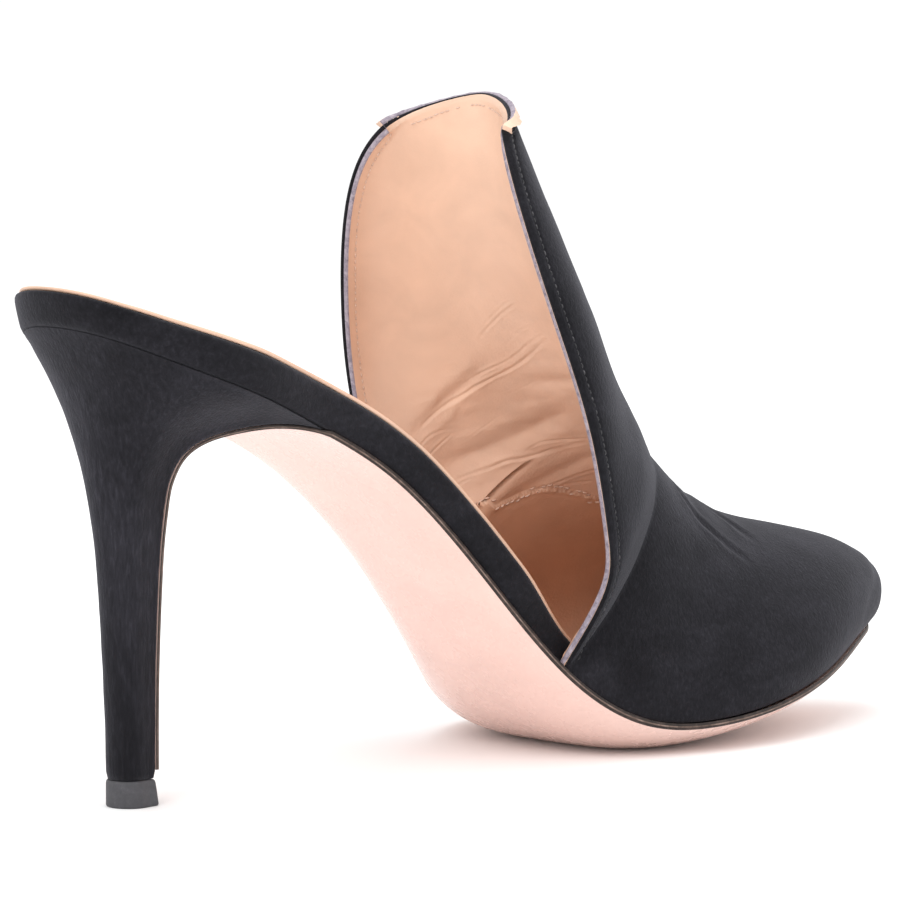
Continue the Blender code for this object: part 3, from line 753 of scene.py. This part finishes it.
def with_rim(name, face, normals, thick, roll, tuck, side, material, edge_material, face_material_of=None):
    """A sheet with a rounded cut edge all round: its face, the edge, and a strip turned under.
    side is 1 for a sheet seen from outside and -1 for one seen from inside."""
    rows, cols = face.shape[:2]
    loop = border_loop(rows, cols)
    ij = np.array(loop)
    P = face[ij[:, 0], ij[:, 1]]
    N = normals[ij[:, 0], ij[:, 1]] * side
    T = np.roll(P, -1, 0) - np.roll(P, 1, 0)
    T /= np.maximum(np.linalg.norm(T, axis=1), 1e-9)[:, None]
    E = np.cross(T, N)
    E /= np.maximum(np.linalg.norm(E, axis=1), 1e-9)[:, None]
    inner = face[np.clip(ij[:, 0], 3, rows - 4), np.clip(ij[:, 1], 3, cols - 4)]
    sign = np.sign(((P - inner) * E).sum(1))
    sign = np.sign(np.convolve(np.concatenate([sign[-8:], sign, sign[:8]]), np.ones(17), "same")[8:-8])
    E *= sign[:, None]
    for _ in range(6):
        E = (np.roll(E, 1, 0) + 2 * E + np.roll(E, -1, 0)) / 4
        N = (np.roll(N, 1, 0) + 2 * N + np.roll(N, -1, 0)) / 4
    E /= np.linalg.norm(E, axis=1)[:, None]
    N /= np.linalg.norm(N, axis=1)[:, None]
    rings = []
    for angle in np.linspace(0, np.pi, 8)[1:]:
        rings.append(P + E * roll * math.sin(angle) - N * thick * (1 - math.cos(angle)) / 2)
    for deep in (0.35, 1.0):
        rings.append(P - N * thick - E * tuck * deep)
    points = [face.reshape(-1, 3)] + rings
    quads = grid_faces(rows, cols)
    count = len(loop)
    base = rows * cols
    first = ij[:, 0] * cols + ij[:, 1]
    rims = []
    ring_index = [first] + [base + k * count + np.arange(count) for k in range(len(rings))]
    for a, b in zip(ring_index, ring_index[1:]):
        rims.append(np.stack([a, np.roll(a, -1), np.roll(b, -1), b], 1))
    obj = make_mesh(name, np.concatenate(points), quads, material,
                    [(np.concatenate(rims[:6]), edge_material), (np.concatenate(rims[6:]), material)])
    return obj


def build_upper():
    # suede
    rows = stations(0.05, 0.06, (4.0, 7.5))
    across = 90
    girth = np.linspace(-1, 1, 2 * across + 1)
    face = upper_grid(rows, across)
    normals = vertex_normals(face)
    outward = np.sign(normals[len(rows) // 3, across][2])
    normals *= outward
    at = sampler(rows, girth, face)
    depth = crease_field(face, SUEDE_CREASES, at)
    depth -= 0.10 * wave(face, 26, 3) + 0.05 * wave(face, 11, 5)
    border = np.minimum.reduce([
        np.minimum(np.arange(len(girth)), np.arange(len(girth))[::-1])[None, :] * np.ones((len(rows), 1)),
        np.arange(len(rows))[::-1][:, None] * np.ones((1, len(girth)))])
    # The margin beside the opening is pressed flat by its row of stitches.
    edge_line = np.concatenate([face[rows >= CORNER, 0], face[-1], face[rows >= CORNER, -1][::-1]])
    from_edge, _ = nearest(face, edge_line)
    depth += 0.16 * np.exp(-((from_edge - 2.0) / 0.45) ** 2) - 0.10 * np.exp(-((from_edge - 1.0) / 0.7) ** 2)
    depth *= smooth(0, 3, border) * 0.999 + 0.001
    lasted = np.minimum(np.abs(face[..., 2] - feather(np.clip(face[..., 0], 0, SOLE_LENGTH))) / 2.0, 1)
    shaped = face - normals * (depth * lasted)[..., None]
    suede_obj = with_rim("upper_suede", shaped, normals, SUEDE_THICK, 0.22, 2.5, 1, BLACK_SUEDE, BLACK_SUEDE)
    finish_piece(suede_obj, "suede", "upper", weld=False)

    # lining
    fine = 0.022
    rows_in = stations(fine, 0.09, (5.7, 9.85))
    across_in = 110
    girth_in = np.linspace(-1, 1, 2 * across_in + 1)
    outer = upper_grid(rows_in, across_in)
    n_in = vertex_normals(outer)
    n_in *= outward
    inner = outer - n_in * WALL
    at_in = sampler(rows_in, girth_in, inner)
    depth = crease_field(inner, LINING_CREASES, at_in)
    depth += 0.12 * wave(inner, 22, 7) + 0.035 * wave(inner, 8, 11)
    seam = line_points(LINING_SEAM, at_in, 160)
    seam_s = np.interp(girth_in, [p[1] for p in LINING_SEAM[::-1]], [p[0] for p in LINING_SEAM[::-1]])
    d_seam, _ = distance_to(inner, seam)
    below = rows_in[:, None] < seam_s[None, :]
    signed = np.where(below, d_seam, -d_seam)
    step = smooth(-0.12, 0.16, signed)
    depth -= 0.42 * step + 0.16 * np.exp(-((signed - 0.30) / 0.28) ** 2)
    depth += 0.14 * np.exp(-((signed - 1.05) / 0.30) ** 2) + 0.18 * np.exp(-((signed + 0.25) / 0.35) ** 2)
    edge_in = np.concatenate([inner[rows_in >= CORNER, 0], inner[-1], inner[rows_in >= CORNER, -1][::-1]])
    from_edge_in, _ = nearest(inner, edge_in)
    depth += 0.10 * np.exp(-((from_edge_in - 2.0) / 0.35) ** 2)
    border = np.minimum.reduce([
        np.minimum(np.arange(len(girth_in)), np.arange(len(girth_in))[::-1])[None, :] * np.ones((len(rows_in), 1)),
        np.arange(len(rows_in))[::-1][:, None] * np.ones((1, len(girth_in)))])
    depth *= smooth(0, 3, border)
    lined = inner + n_in * depth[..., None]
    lining_thick = WALL - SUEDE_THICK - 0.02
    lining = with_rim("upper_lining", lined, n_in, lining_thick, 0.30, 2.0, -1, LINING, LINING_EDGE)
    finish_piece(lining, "lining", weld=False)
    # The toe lining below the seam is its own piece of leather, coloured darker and browner than the lining as painted
    # shade deep in the toe.
    lining.data.materials.append(TOE_LINING_SHADED)
    toe_shade_slot = len(lining.data.materials) - 1
    index = np.zeros(len(lining.data.polygons), np.int32)
    lining.data.polygons.foreach_get("material_index", index)
    quads = (len(rows_in) - 1) * (len(girth_in) - 1)
    # the faces below the seam, which take the painted shade of the toe lining
    toe = (signed[:-1, :-1] > 0.0).reshape(-1)
    index[:quads][toe] = toe_shade_slot
    lining.data.polygons.foreach_set("material_index", index)
    return shaped, normals, rows, girth, lined, n_in, rows_in, girth_in, seam


def nearest(points, line):
    return distance_to(points, line[:: max(1, len(line) // 260)])


# ---------------------------------------------------------------- stitches

def bvh_of(grid):
    rows, cols = grid.shape[:2]
    return BVHTree.FromPolygons([Vector(p) for p in grid.reshape(-1, 3)], grid_faces(rows, cols).tolist())


def resampled(line, pitch):
    run = np.concatenate([[0], np.cumsum(np.linalg.norm(np.diff(line, axis=0), axis=1))])
    count = int(run[-1] / pitch)
    at = (np.arange(count) + 0.5) * run[-1] / count
    return np.stack([np.interp(at, run, line[:, k]) for k in range(3)], 1)


def stitch_row(name, centres, directions, ups, length, radius, material, slot, slant=0.0, sink=0.35):
    """One short arched thread per stitch."""
    segments, around = 5, 7
    points, faces = [], []
    t = np.linspace(-1, 1, segments)
    arch = np.sqrt(np.clip(1 - (t * 0.98) ** 2, 0, 1))
    for k, (c, d, u) in enumerate(zip(centres, directions, ups)):
        u = u / np.linalg.norm(u)
        d = d - u * (d @ u)
        d /= np.linalg.norm(d)
        w = np.cross(u, d)
        d2 = d * math.cos(slant) + w * math.sin(slant)
        w2 = np.cross(u, d2)
        jitter = 1 + 0.12 * math.sin(k * 12.9898)
        base = len(points)
        for a, h in zip(t, arch):
            centre = c + d2 * a * length / 2 * jitter + u * (radius * (h * 0.9 - sink))
            r = radius * (0.42 + 0.58 * h)
            for b in range(around):
                ang = 2 * math.pi * b / around
                points.append(centre + (w2 * math.cos(ang) + u * math.sin(ang)) * r)
        faces.extend((grid_faces(segments, around, base, wrap=True)).tolist())
        for end in (base, base + (segments - 1) * around):
            points.append(np.mean(points[end:end + around], axis=0))
            tip = len(points) - 1
            for b in range(around):
                faces.append([end + b, end + (b + 1) % around, tip, tip])
    obj = make_mesh(name, np.array(points), np.array(faces), material)
    return finish_piece(obj, slot, weld=False)


def row_beside(edge, tree, inset, pitch, lift, ups_sign=1.0):
    """Points along the smoothed edge line, each with a sideways direction and the normal of the surface in tree."""
    toward = []
    line = smoothed(edge, 3)
    tangent = np.gradient(line, axis=0)
    tangent /= np.linalg.norm(tangent, axis=1)[:, None]
    out = []
    for p, t in zip(line, tangent):
        _, n, _, _ = tree.find_nearest(Vector(p))
        n = np.array(n) * ups_sign
        side = np.cross(n, t)
        out.append((p, side, n))
    return out


# ---------------------------------------------------------------- footbed

def insole_height(x):
    return BAND - (BAND - INSOLE_TOE) * smooth(108, 145, x)


def wrapped(x):
    return INSOLE_IN * smooth(92, 105.5, x)


def bars(left, right, steps, height):
    """Points across the footbed from left to right at a height above the feather line."""
    rows = []
    t = (1 - np.cos(np.linspace(0, np.pi, steps + 1))) / 2
    for a, b in zip(left, right):
        xy = a + (b - a) * t[:, None]
        rows.append(layer(xy[:, 0], xy[:, 1], height(xy[:, 0])))
    return rows


def plate_loops(count, across, levels):
    """Loops across a footbed plate; levels are (height function, inset function) from its
    lower to its upper face. Returns the loops."""
    sides = [outline(count, inset) for _, inset in levels]
    under = bars(*sides[0], across, levels[0][0])
    over = bars(*sides[-1], across, levels[-1][0])
    loops = []
    for j in range(count):
        loop = list(under[j])
        for (height, _), (_, inner) in zip(levels[1:-1], sides[1:-1]):
            loop.append(layer(inner[j, 0], inner[j, 1], height(inner[j, 0])))
        loop += list(over[j][::-1])
        for (height, _), (outer, _) in list(zip(levels, sides))[-2:0:-1]:
            loop.append(layer(outer[j, 0], outer[j, 1], height(outer[j, 0])))
        loops.append(np.array(loop))
    return np.array(loops)


def build_band():
    profile = [  # height up from the feather line, inset
        (0.12, 2.2), (0.10, 1.1), (0.22, 0.55), (0.55, 0.18), (1.1, 0.0), (2.2, -0.05), (3.6, -0.06), (4.8, -0.03)]
    top = [  # depth below the top face, inset
        (1.7, 0.03), (1.05, 0.16), (0.55, 0.42), (0.22, 0.82), (0.04, 1.35), (0.0, 2.1), (0.06, 3.2)]
    levels = [(lambda x, h=h: h + 0 * x, lambda x, i=i: wrapped(x) + i) for h, i in profile]
    levels += [(lambda x, d=d: insole_height(x) - d, lambda x, i=i: wrapped(x) + i) for d, i in top]
    loops = plate_loops(260, 10, levels)
    n = np.zeros_like(loops)
    mid = loops.mean(1, keepdims=True)
    away = loops - mid
    away /= np.maximum(np.linalg.norm(away, axis=2), 1e-6)[..., None]
    loops = loops + away * (0.045 * wave(loops, 16, 2) + 0.02 * wave(loops, 5, 4))[..., None]
    count, width = loops.shape[:2]
    obj = make_mesh("footbed_band", loops.reshape(-1, 3), grid_faces(count, width, wrap=True), BAND_SUEDE)
    return finish_piece(obj, "suede", "insole")


def build_sock():
    def inset(i):
        return lambda x: wrapped(x) + SOCK_INSET + i
    def height(d):
        return lambda x: insole_height(x) + 0.06 + d
    levels = [(height(0.0), inset(0.4)), (height(0.0), inset(0.05)), (height(0.25), inset(-0.05)), (height(0.55), inset(-0.02)),
              (height(0.78), inset(0.12)), (height(0.88), inset(0.40)), (height(0.86), inset(1.2)), (height(0.80), inset(1.8)), (height(0.88), inset(2.5))]
    loops = plate_loops(220, 26, levels)
    count, width = loops.shape[:2]
    loops[..., 2] += 0.05 * wave(loops, 14, 8)
    obj = make_mesh("sock_leather", loops.reshape(-1, 3), grid_faces(count, width, wrap=True), SOCK_LEATHER)
    return finish_piece(obj, "lining", "sock")


# ---------------------------------------------------------------- outsole

WAIST_END = 52.0
EDGE_STEPS = ((0.0, 0.10, 0.0), (0.10, 0.0, 1), (0.40, -0.04, 1), (0.55, -0.05, 2), (0.82, -0.04, 2), (0.97, 0.0, 1), (1.12, 0.12, 1), (1.20, 0.34, 1))


def build_outsole():
    across = 44
    x_all = np.concatenate([WAIST_END + (SOLE_LENGTH - WAIST_END) * np.sin(np.linspace(0, np.pi / 2, 230))])[::-1]
    last = len(RINGS) - 1
    sections = []
    v = np.sin(np.linspace(-np.pi / 2, np.pi / 2, across + 1))
    for x in x_all:
        outer, inner = halves(x)
        a = -np.arctan(float(feather(x, True)))
        shrink = min(1.0, float(outer + inner) / 3.0)

        def edge_point(side, depth, inset):
            y = side * ((outer if side < 0 else inner) - inset * shrink)
            p = layer(np.array([x]), np.array([y]), np.array([0.0]))[0]
            return p - np.array([math.sin(a), 0, math.cos(a)]) * depth

        y = np.where(v < 0, v * outer, v * inner) * 0.985
        xs = np.full(across + 1, float(x))
        top = layer(xs, y, np.full(across + 1, -0.02))
        middle = FLAP + (SOLE_MIDDLE - FLAP) * smooth(WAIST_END - 2, 80, x)
        middle = middle + (SOLE_EDGE - middle) * smooth(175, 212, x)
        thick = SOLE_EDGE + 0.02 + (middle - SOLE_EDGE) * (1 - np.abs(v) ** SAG_POWER)
        bottom = layer(xs, y, np.zeros(across + 1)) - np.stack([thick * np.sin(a), 0 * y, thick * np.cos(a)], 1)
        right = [edge_point(1, d, i) for d, i, _ in EDGE_STEPS]
        left = [edge_point(-1, d, i) for d, i, _ in EDGE_STEPS]
        loop = np.concatenate([top[2:-2], right, bottom[::-1][2:-2], left[::-1]])
        loop[:, 2] = np.maximum(loop[:, 2], 0.0)
        sections.append(loop)
    steps = len(EDGE_STEPS)
    for k in np.linspace(last - 0.02, 0, 150):
        x0, half, z0 = breast(k, GAP * 0.4)
        if z0 < FLAP_END:
            break
        x1, _, z1 = breast(k, GAP * 0.4 + FLAP)
        width = half - 0.12
        n = np.array([x1 - x0, 0, z1 - z0])
        n /= np.linalg.norm(n)
        base = np.array([x0, 0, z0])
        side = np.array([0, 1.0, 0])
        y = v * (width - 0.1)
        top = base + side * y[:, None]
        bottom = base + n * FLAP + side * (y * 0.97)[:, None]
        share = [d / 1.2 for d, _, _ in EDGE_STEPS]
        right = [base + n * FLAP * s + side * (width - i * 0.5) for s, (_, i, _) in zip(share, EDGE_STEPS)]
        left = [base + n * FLAP * s - side * (width - i * 0.5) for s, (_, i, _) in zip(share, EDGE_STEPS)]
        sections.append(np.concatenate([top[2:-2], right, bottom[::-1][2:-2], left[::-1]]))
    sections = np.array(sections)
    rows, width = sections.shape[:2]
    quads = grid_faces(rows, width, wrap=True)
    column_of = np.tile(np.arange(width), rows - 1)
    top_n = across - 3
    material_of = np.zeros(len(quads), int)
    for j, (_, _, kind) in enumerate(EDGE_STEPS[:-1]):
        kind = max(kind, EDGE_STEPS[j + 1][2])
        if EDGE_STEPS[j][2] == 2 and EDGE_STEPS[j + 1][2] == 2:
            kind = 2
        elif kind == 2:
            kind = 1
        material_of[column_of == top_n + j] = kind
        material_of[column_of == width - 1 - j - 1] = kind
    groups = {0: SOLE_LEATHER, 1: SOLE_EDGE_DARK, 2: SOLE_EDGE_TAN}
    points = sections.reshape(-1, 3)
    end = (rows - 1) * width
    cap_faces = []
    bottom_start = top_n + steps
    for i in range(top_n - 1):
        cap_faces.append([end + i, end + i + 1, end + bottom_start + (top_n - 1) - i - 1, end + bottom_start + (top_n - 1) - i])
    extra = [(quads[material_of == k], groups[k]) for k in (1, 2)] + [(np.array(cap_faces), SOLE_EDGE_DARK)]
    obj = make_mesh("outsole_leather", points, quads[material_of == 0], SOLE_LEATHER, extra)
    return finish_piece(obj, "sole_leather", "outsole")


# ---------------------------------------------------------------- heel

def rounded_ring(half_ring, radius):
    """A closed heel section with soft breast corners, from its outer half."""
    corner = half_ring[-1]
    mirrored = half_ring * np.array([1, -1, 1])
    run = np.linalg.norm(np.diff(half_ring, axis=0), axis=1)[::-1].cumsum()
    keep = half_ring[:-1][run[::-1] > radius]
    width = abs(corner[1]) * 2
    inward = np.array([0, 1.0, 0])
    start = keep[-1]
    stop = corner + inward * min(radius, width * 0.3)
    t = np.linspace(0, 1, 7)[1:, None]
    arc = (1 - t) ** 2 * start + 2 * (1 - t) * t * corner + t ** 2 * stop
    half = np.concatenate([keep, arc])
    other = half * np.array([1, -1, 1])
    return half, other


def build_heel():
    q = 1 - np.cos(np.linspace(0, np.pi / 2, 64))
    last = len(RINGS) - 1
    loops = []
    for k in np.linspace(0, last, 170):
        ring = heel_ring(k, q)
        half = ring.copy()
        corner = half[-1].copy()
        share = np.clip((q - 0.955) / 0.045, 0, 1)
        radius = 0.45 * (1 - 0.5 * k / last)
        half[:, 1] += radius * share ** 2.2
        other = half * np.array([1, -1, 1])
        front = []
        for f in np.linspace(-1, 1, 12)[1:-1]:
            front.append(np.array([half[-1][0] + 0.0, f * abs(half[-1][1]), half[-1][2]]))
        loop = np.concatenate([half[::-1], other[1:], np.array(front)[::-1]])
        loops.append(loop)
    loops = np.array(loops)
    centre = loops.mean(1, keepdims=True)
    away = loops - centre
    away[..., 2] *= 0.2
    away /= np.maximum(np.linalg.norm(away, axis=2), 1e-6)[..., None]
    level = np.linspace(0, last, 170)[:, None]
    calm = smooth(0, 0.4, level) * smooth(last, last - 0.5, level)
    swell = 0.06 * wave(loops, 18, 6) + 0.03 * wave(loops, 6, 8)
    loops = loops + away * (swell * calm)[..., None]
    # the cover tucks in where it meets the top piece
    for i, k in enumerate(np.linspace(0, last, 170)):
        tuck = 0.30 * (1 - smooth(0, 0.06, k)) + 0.0
        loops[i] -= away[i] * tuck
    count, width = loops.shape[:2]
    quads = grid_faces(count, width, wrap=True)
    half_n = 64
    caps = []
    for start in (0, (count - 1) * width):
        for i in range(half_n - 1):
            a, b = start + i, start + i + 1
            c, d = start + 2 * half_n - 2 - i - 1, start + 2 * half_n - 2 - i
            caps.append([a, b, c, d])
    front_cap = []
    obj = make_mesh("heel_suede", loops.reshape(-1, 3), quads, HEEL_SUEDE_LIT, [(np.array(caps), HEEL_SUEDE_LIT)])
    return finish_piece(obj, "suede", "heel")


def build_top_piece():
    foot = RINGS[0]
    q = 1 - np.cos(np.linspace(0, np.pi / 2, 40))
    loops = []
    steps = [(0.0, 0.35), (0.12, 0.10), (0.35, 0.0), (1.5, 0.0), (3.0, 0.0), (4.4, 0.02), (4.85, 0.10), (5.12, 0.34)]
    for z, inset in steps:
        flare = TOP_PIECE_FLARE * (1 - z / TOP_PIECE)
        x0, x1 = foot.back_x + inset - 0.10, foot.front_x + flare - inset
        x = x0 + (x1 - x0) * q
        y = (foot.widest + 0.08 - inset) * column_d(q) * (1 + (foot.front_half / foot.widest - 1) * smooth(0.35, 1.0, q)) * (1 + 0.35 * flare / foot.widest)
        share = np.clip((q - 0.95) / 0.05, 0, 1)
        y = y - 0.30 * share ** 2.2
        ring = np.stack([x, -y, np.full(len(q), z)], 1)
        other = ring * np.array([1, -1, 1])
        front = [np.array([ring[-1][0] + 0.06, f * abs(ring[-1][1]), z]) for f in np.linspace(1, -1, 8)[1:-1]]
        loops.append(np.concatenate([ring[::-1], other[1:], front]))
    loops = np.array(loops)
    loops[..., 2] = np.maximum(loops[..., 2], 0)
    count, width = loops.shape[:2]
    quads = grid_faces(count, width, wrap=True)
    caps = []
    for start in (0, (count - 1) * width):
        for i in range(39):
            caps.append([start + i, start + i + 1, start + 78 - i - 1, start + 78 - i])
    obj = make_mesh("top_piece_rubber", loops.reshape(-1, 3), quads, RUBBER, [(np.array(caps), RUBBER)])
    return finish_piece(obj, "rubber", "top_piece")


# ---------------------------------------------------------------- build

shaped, n_out, rows, girth, lined, n_in, rows_in, girth_in, seam = build_upper()
build_band()
build_sock()
build_outsole()
build_heel()
build_top_piece()


def surface_frame(tree, p):
    co, n, _, _ = tree.find_nearest(Vector(p))
    return np.array(co), np.array(n)


def edge_stitches(name, grid, normals, row_list, material, slot, sign, inset=2.0, pitch=1.35, radius=0.17, length=0.95, begin=CORNER + 0.05):
    use = row_list >= begin
    line = np.concatenate([grid[use, 0], grid[-1, 1:-1], grid[use, -1][::-1]])
    nrm = np.concatenate([normals[use, 0], normals[-1, 1:-1], normals[use, -1][::-1]]) * sign
    line, nrm = smoothed(line, 4), smoothed(nrm, 12)
    tangent = np.gradient(line, axis=0)
    tangent /= np.linalg.norm(tangent, axis=1)[:, None]
    side = np.cross(nrm, tangent)
    mid = grid[len(row_list) // 2, grid.shape[1] // 2]
    run = np.concatenate([[0], np.cumsum(np.linalg.norm(np.diff(line, axis=0), axis=1))])
    count = int(run[-1] / pitch)
    at = (np.arange(count) + 0.5) * run[-1] / count
    take = lambda a: np.stack([np.interp(at, run, a[:, k]) for k in range(3)], 1)
    P, S, T, N = take(line), take(side), take(tangent), take(nrm)
    inward = np.sign(((mid - P) * S).sum(1).mean())
    tree = bvh_of(grid)
    centres, ups = [], []
    for p, s in zip(P, S):
        s = s / np.linalg.norm(s)
        c, n = surface_frame(tree, p + s * inward * inset)
        if n @ N[len(centres)] < 0:
            n = -n
        centres.append(c)
        ups.append(n)
    return stitch_row(name, centres, T, ups, length, radius, material, slot)


edge_stitches("stitches_outside", shaped, n_out, rows, THREAD_DARK, "suede", 1)
edge_stitches("stitches_inside", lined, n_in, rows_in, THREAD_PALE, "lining", -1)

seam_line = resampled(seam[3:-3], 1.22)
tree_in = bvh_of(lined)
tangent = np.gradient(seam_line, axis=0)
centres, ups, dirs = [], [], []
for p, t in zip(seam_line, tangent):
    co, n = surface_frame(tree_in, p)
    i_mid = lined[len(rows_in) // 2, len(girth_in) // 2]
    t = t / np.linalg.norm(t)
    if n @ (np.array([118.0, 0.0, 60.0]) - co) < 0:
        n = -n
    down = np.cross(n, t)
    if down[0] < 0:
        down = -down
    co2, n2 = surface_frame(tree_in, co + down * 1.05)
    if n2 @ n < 0:
        n2 = -n2
    centres.append(co2)
    ups.append(n2)
    dirs.append(t)
stitch_row("stitches_seam", centres, dirs, ups, 1.15, 0.21, THREAD_PALE, "lining", slant=0.32, sink=0.1)


# ---------------------------------------------------------------- camera, light and floor

def camera_frame():
    yaw, pitch, roll = math.radians(41.64), math.radians(-5.48), math.radians(-0.75)
    forward = Vector((math.sin(yaw) * math.cos(pitch), math.cos(yaw) * math.cos(pitch), math.sin(pitch)))
    right = Vector((math.cos(yaw), -math.sin(yaw), 0))
    up = right.cross(forward)
    r = right * math.cos(roll) + up * math.sin(roll)
    u = up * math.cos(roll) - right * math.sin(roll)
    m = Matrix((r, u, -forward)).transposed().to_4x4()
    m.translation = Vector(place((-678.4, -874.6, 173.6)))
    return m


camera_data = bpy.data.cameras.new("camera")
camera_data.sensor_width = 36.0
camera_data.lens = 5980.1 / 900 * 36.0
camera_data.clip_start = 0.01
camera_data.clip_end = 200.0
camera = bpy.data.objects.new("camera", camera_data)
camera.matrix_world = camera_frame()
bpy.context.scene.collection.objects.link(camera)
bpy.context.scene.camera = camera

floor_mesh = bpy.data.meshes.new("floor")
F = 40.0
floor_mesh.from_pydata([(-F, -F, 0), (F, -F, 0), (F, F, 0), (-F, F, 0)], [], [(0, 1, 2, 3)])
floor = bpy.data.objects.new("floor", floor_mesh)
bpy.context.scene.collection.objects.link(floor)
floor_material, floor_tree, floor_shader = new_material("floor", (0.93, 0.93, 0.93), 0.9, 0.0)
floor_mesh.materials.append(floor_material)

world = bpy.data.worlds.new("studio")
world.use_nodes = True
world.node_tree.nodes["Background"].inputs["Color"].default_value = (1, 1, 1, 1)
world.node_tree.nodes["Background"].inputs["Strength"].default_value = 1.12
bpy.context.scene.world = world


def area_light(name, location, target, size, power, colour=(1, 1, 1)):
    data = bpy.data.lights.new(name, "AREA")
    data.shape = "RECTANGLE"
    data.size, data.size_y = size
    data.energy = power
    data.color = colour
    obj = bpy.data.objects.new(name, data)
    obj.location = location
    obj.rotation_euler = (Vector(target) - Vector(location)).to_track_quat("-Z", "Y").to_euler()
    bpy.context.scene.collection.objects.link(obj)
    return obj


area_light("key", (-0.9, -0.5, 1.1), (0, 0, 0.06), (0.9, 0.7), 7.0)
area_light("top", (0.25, 0.1, 1.3), (0.05, 0, 0.05), (0.8, 0.8), 5.0)

bpy.context.scene.view_settings.view_transform = "Standard"
bpy.context.scene.view_settings.look = "None"
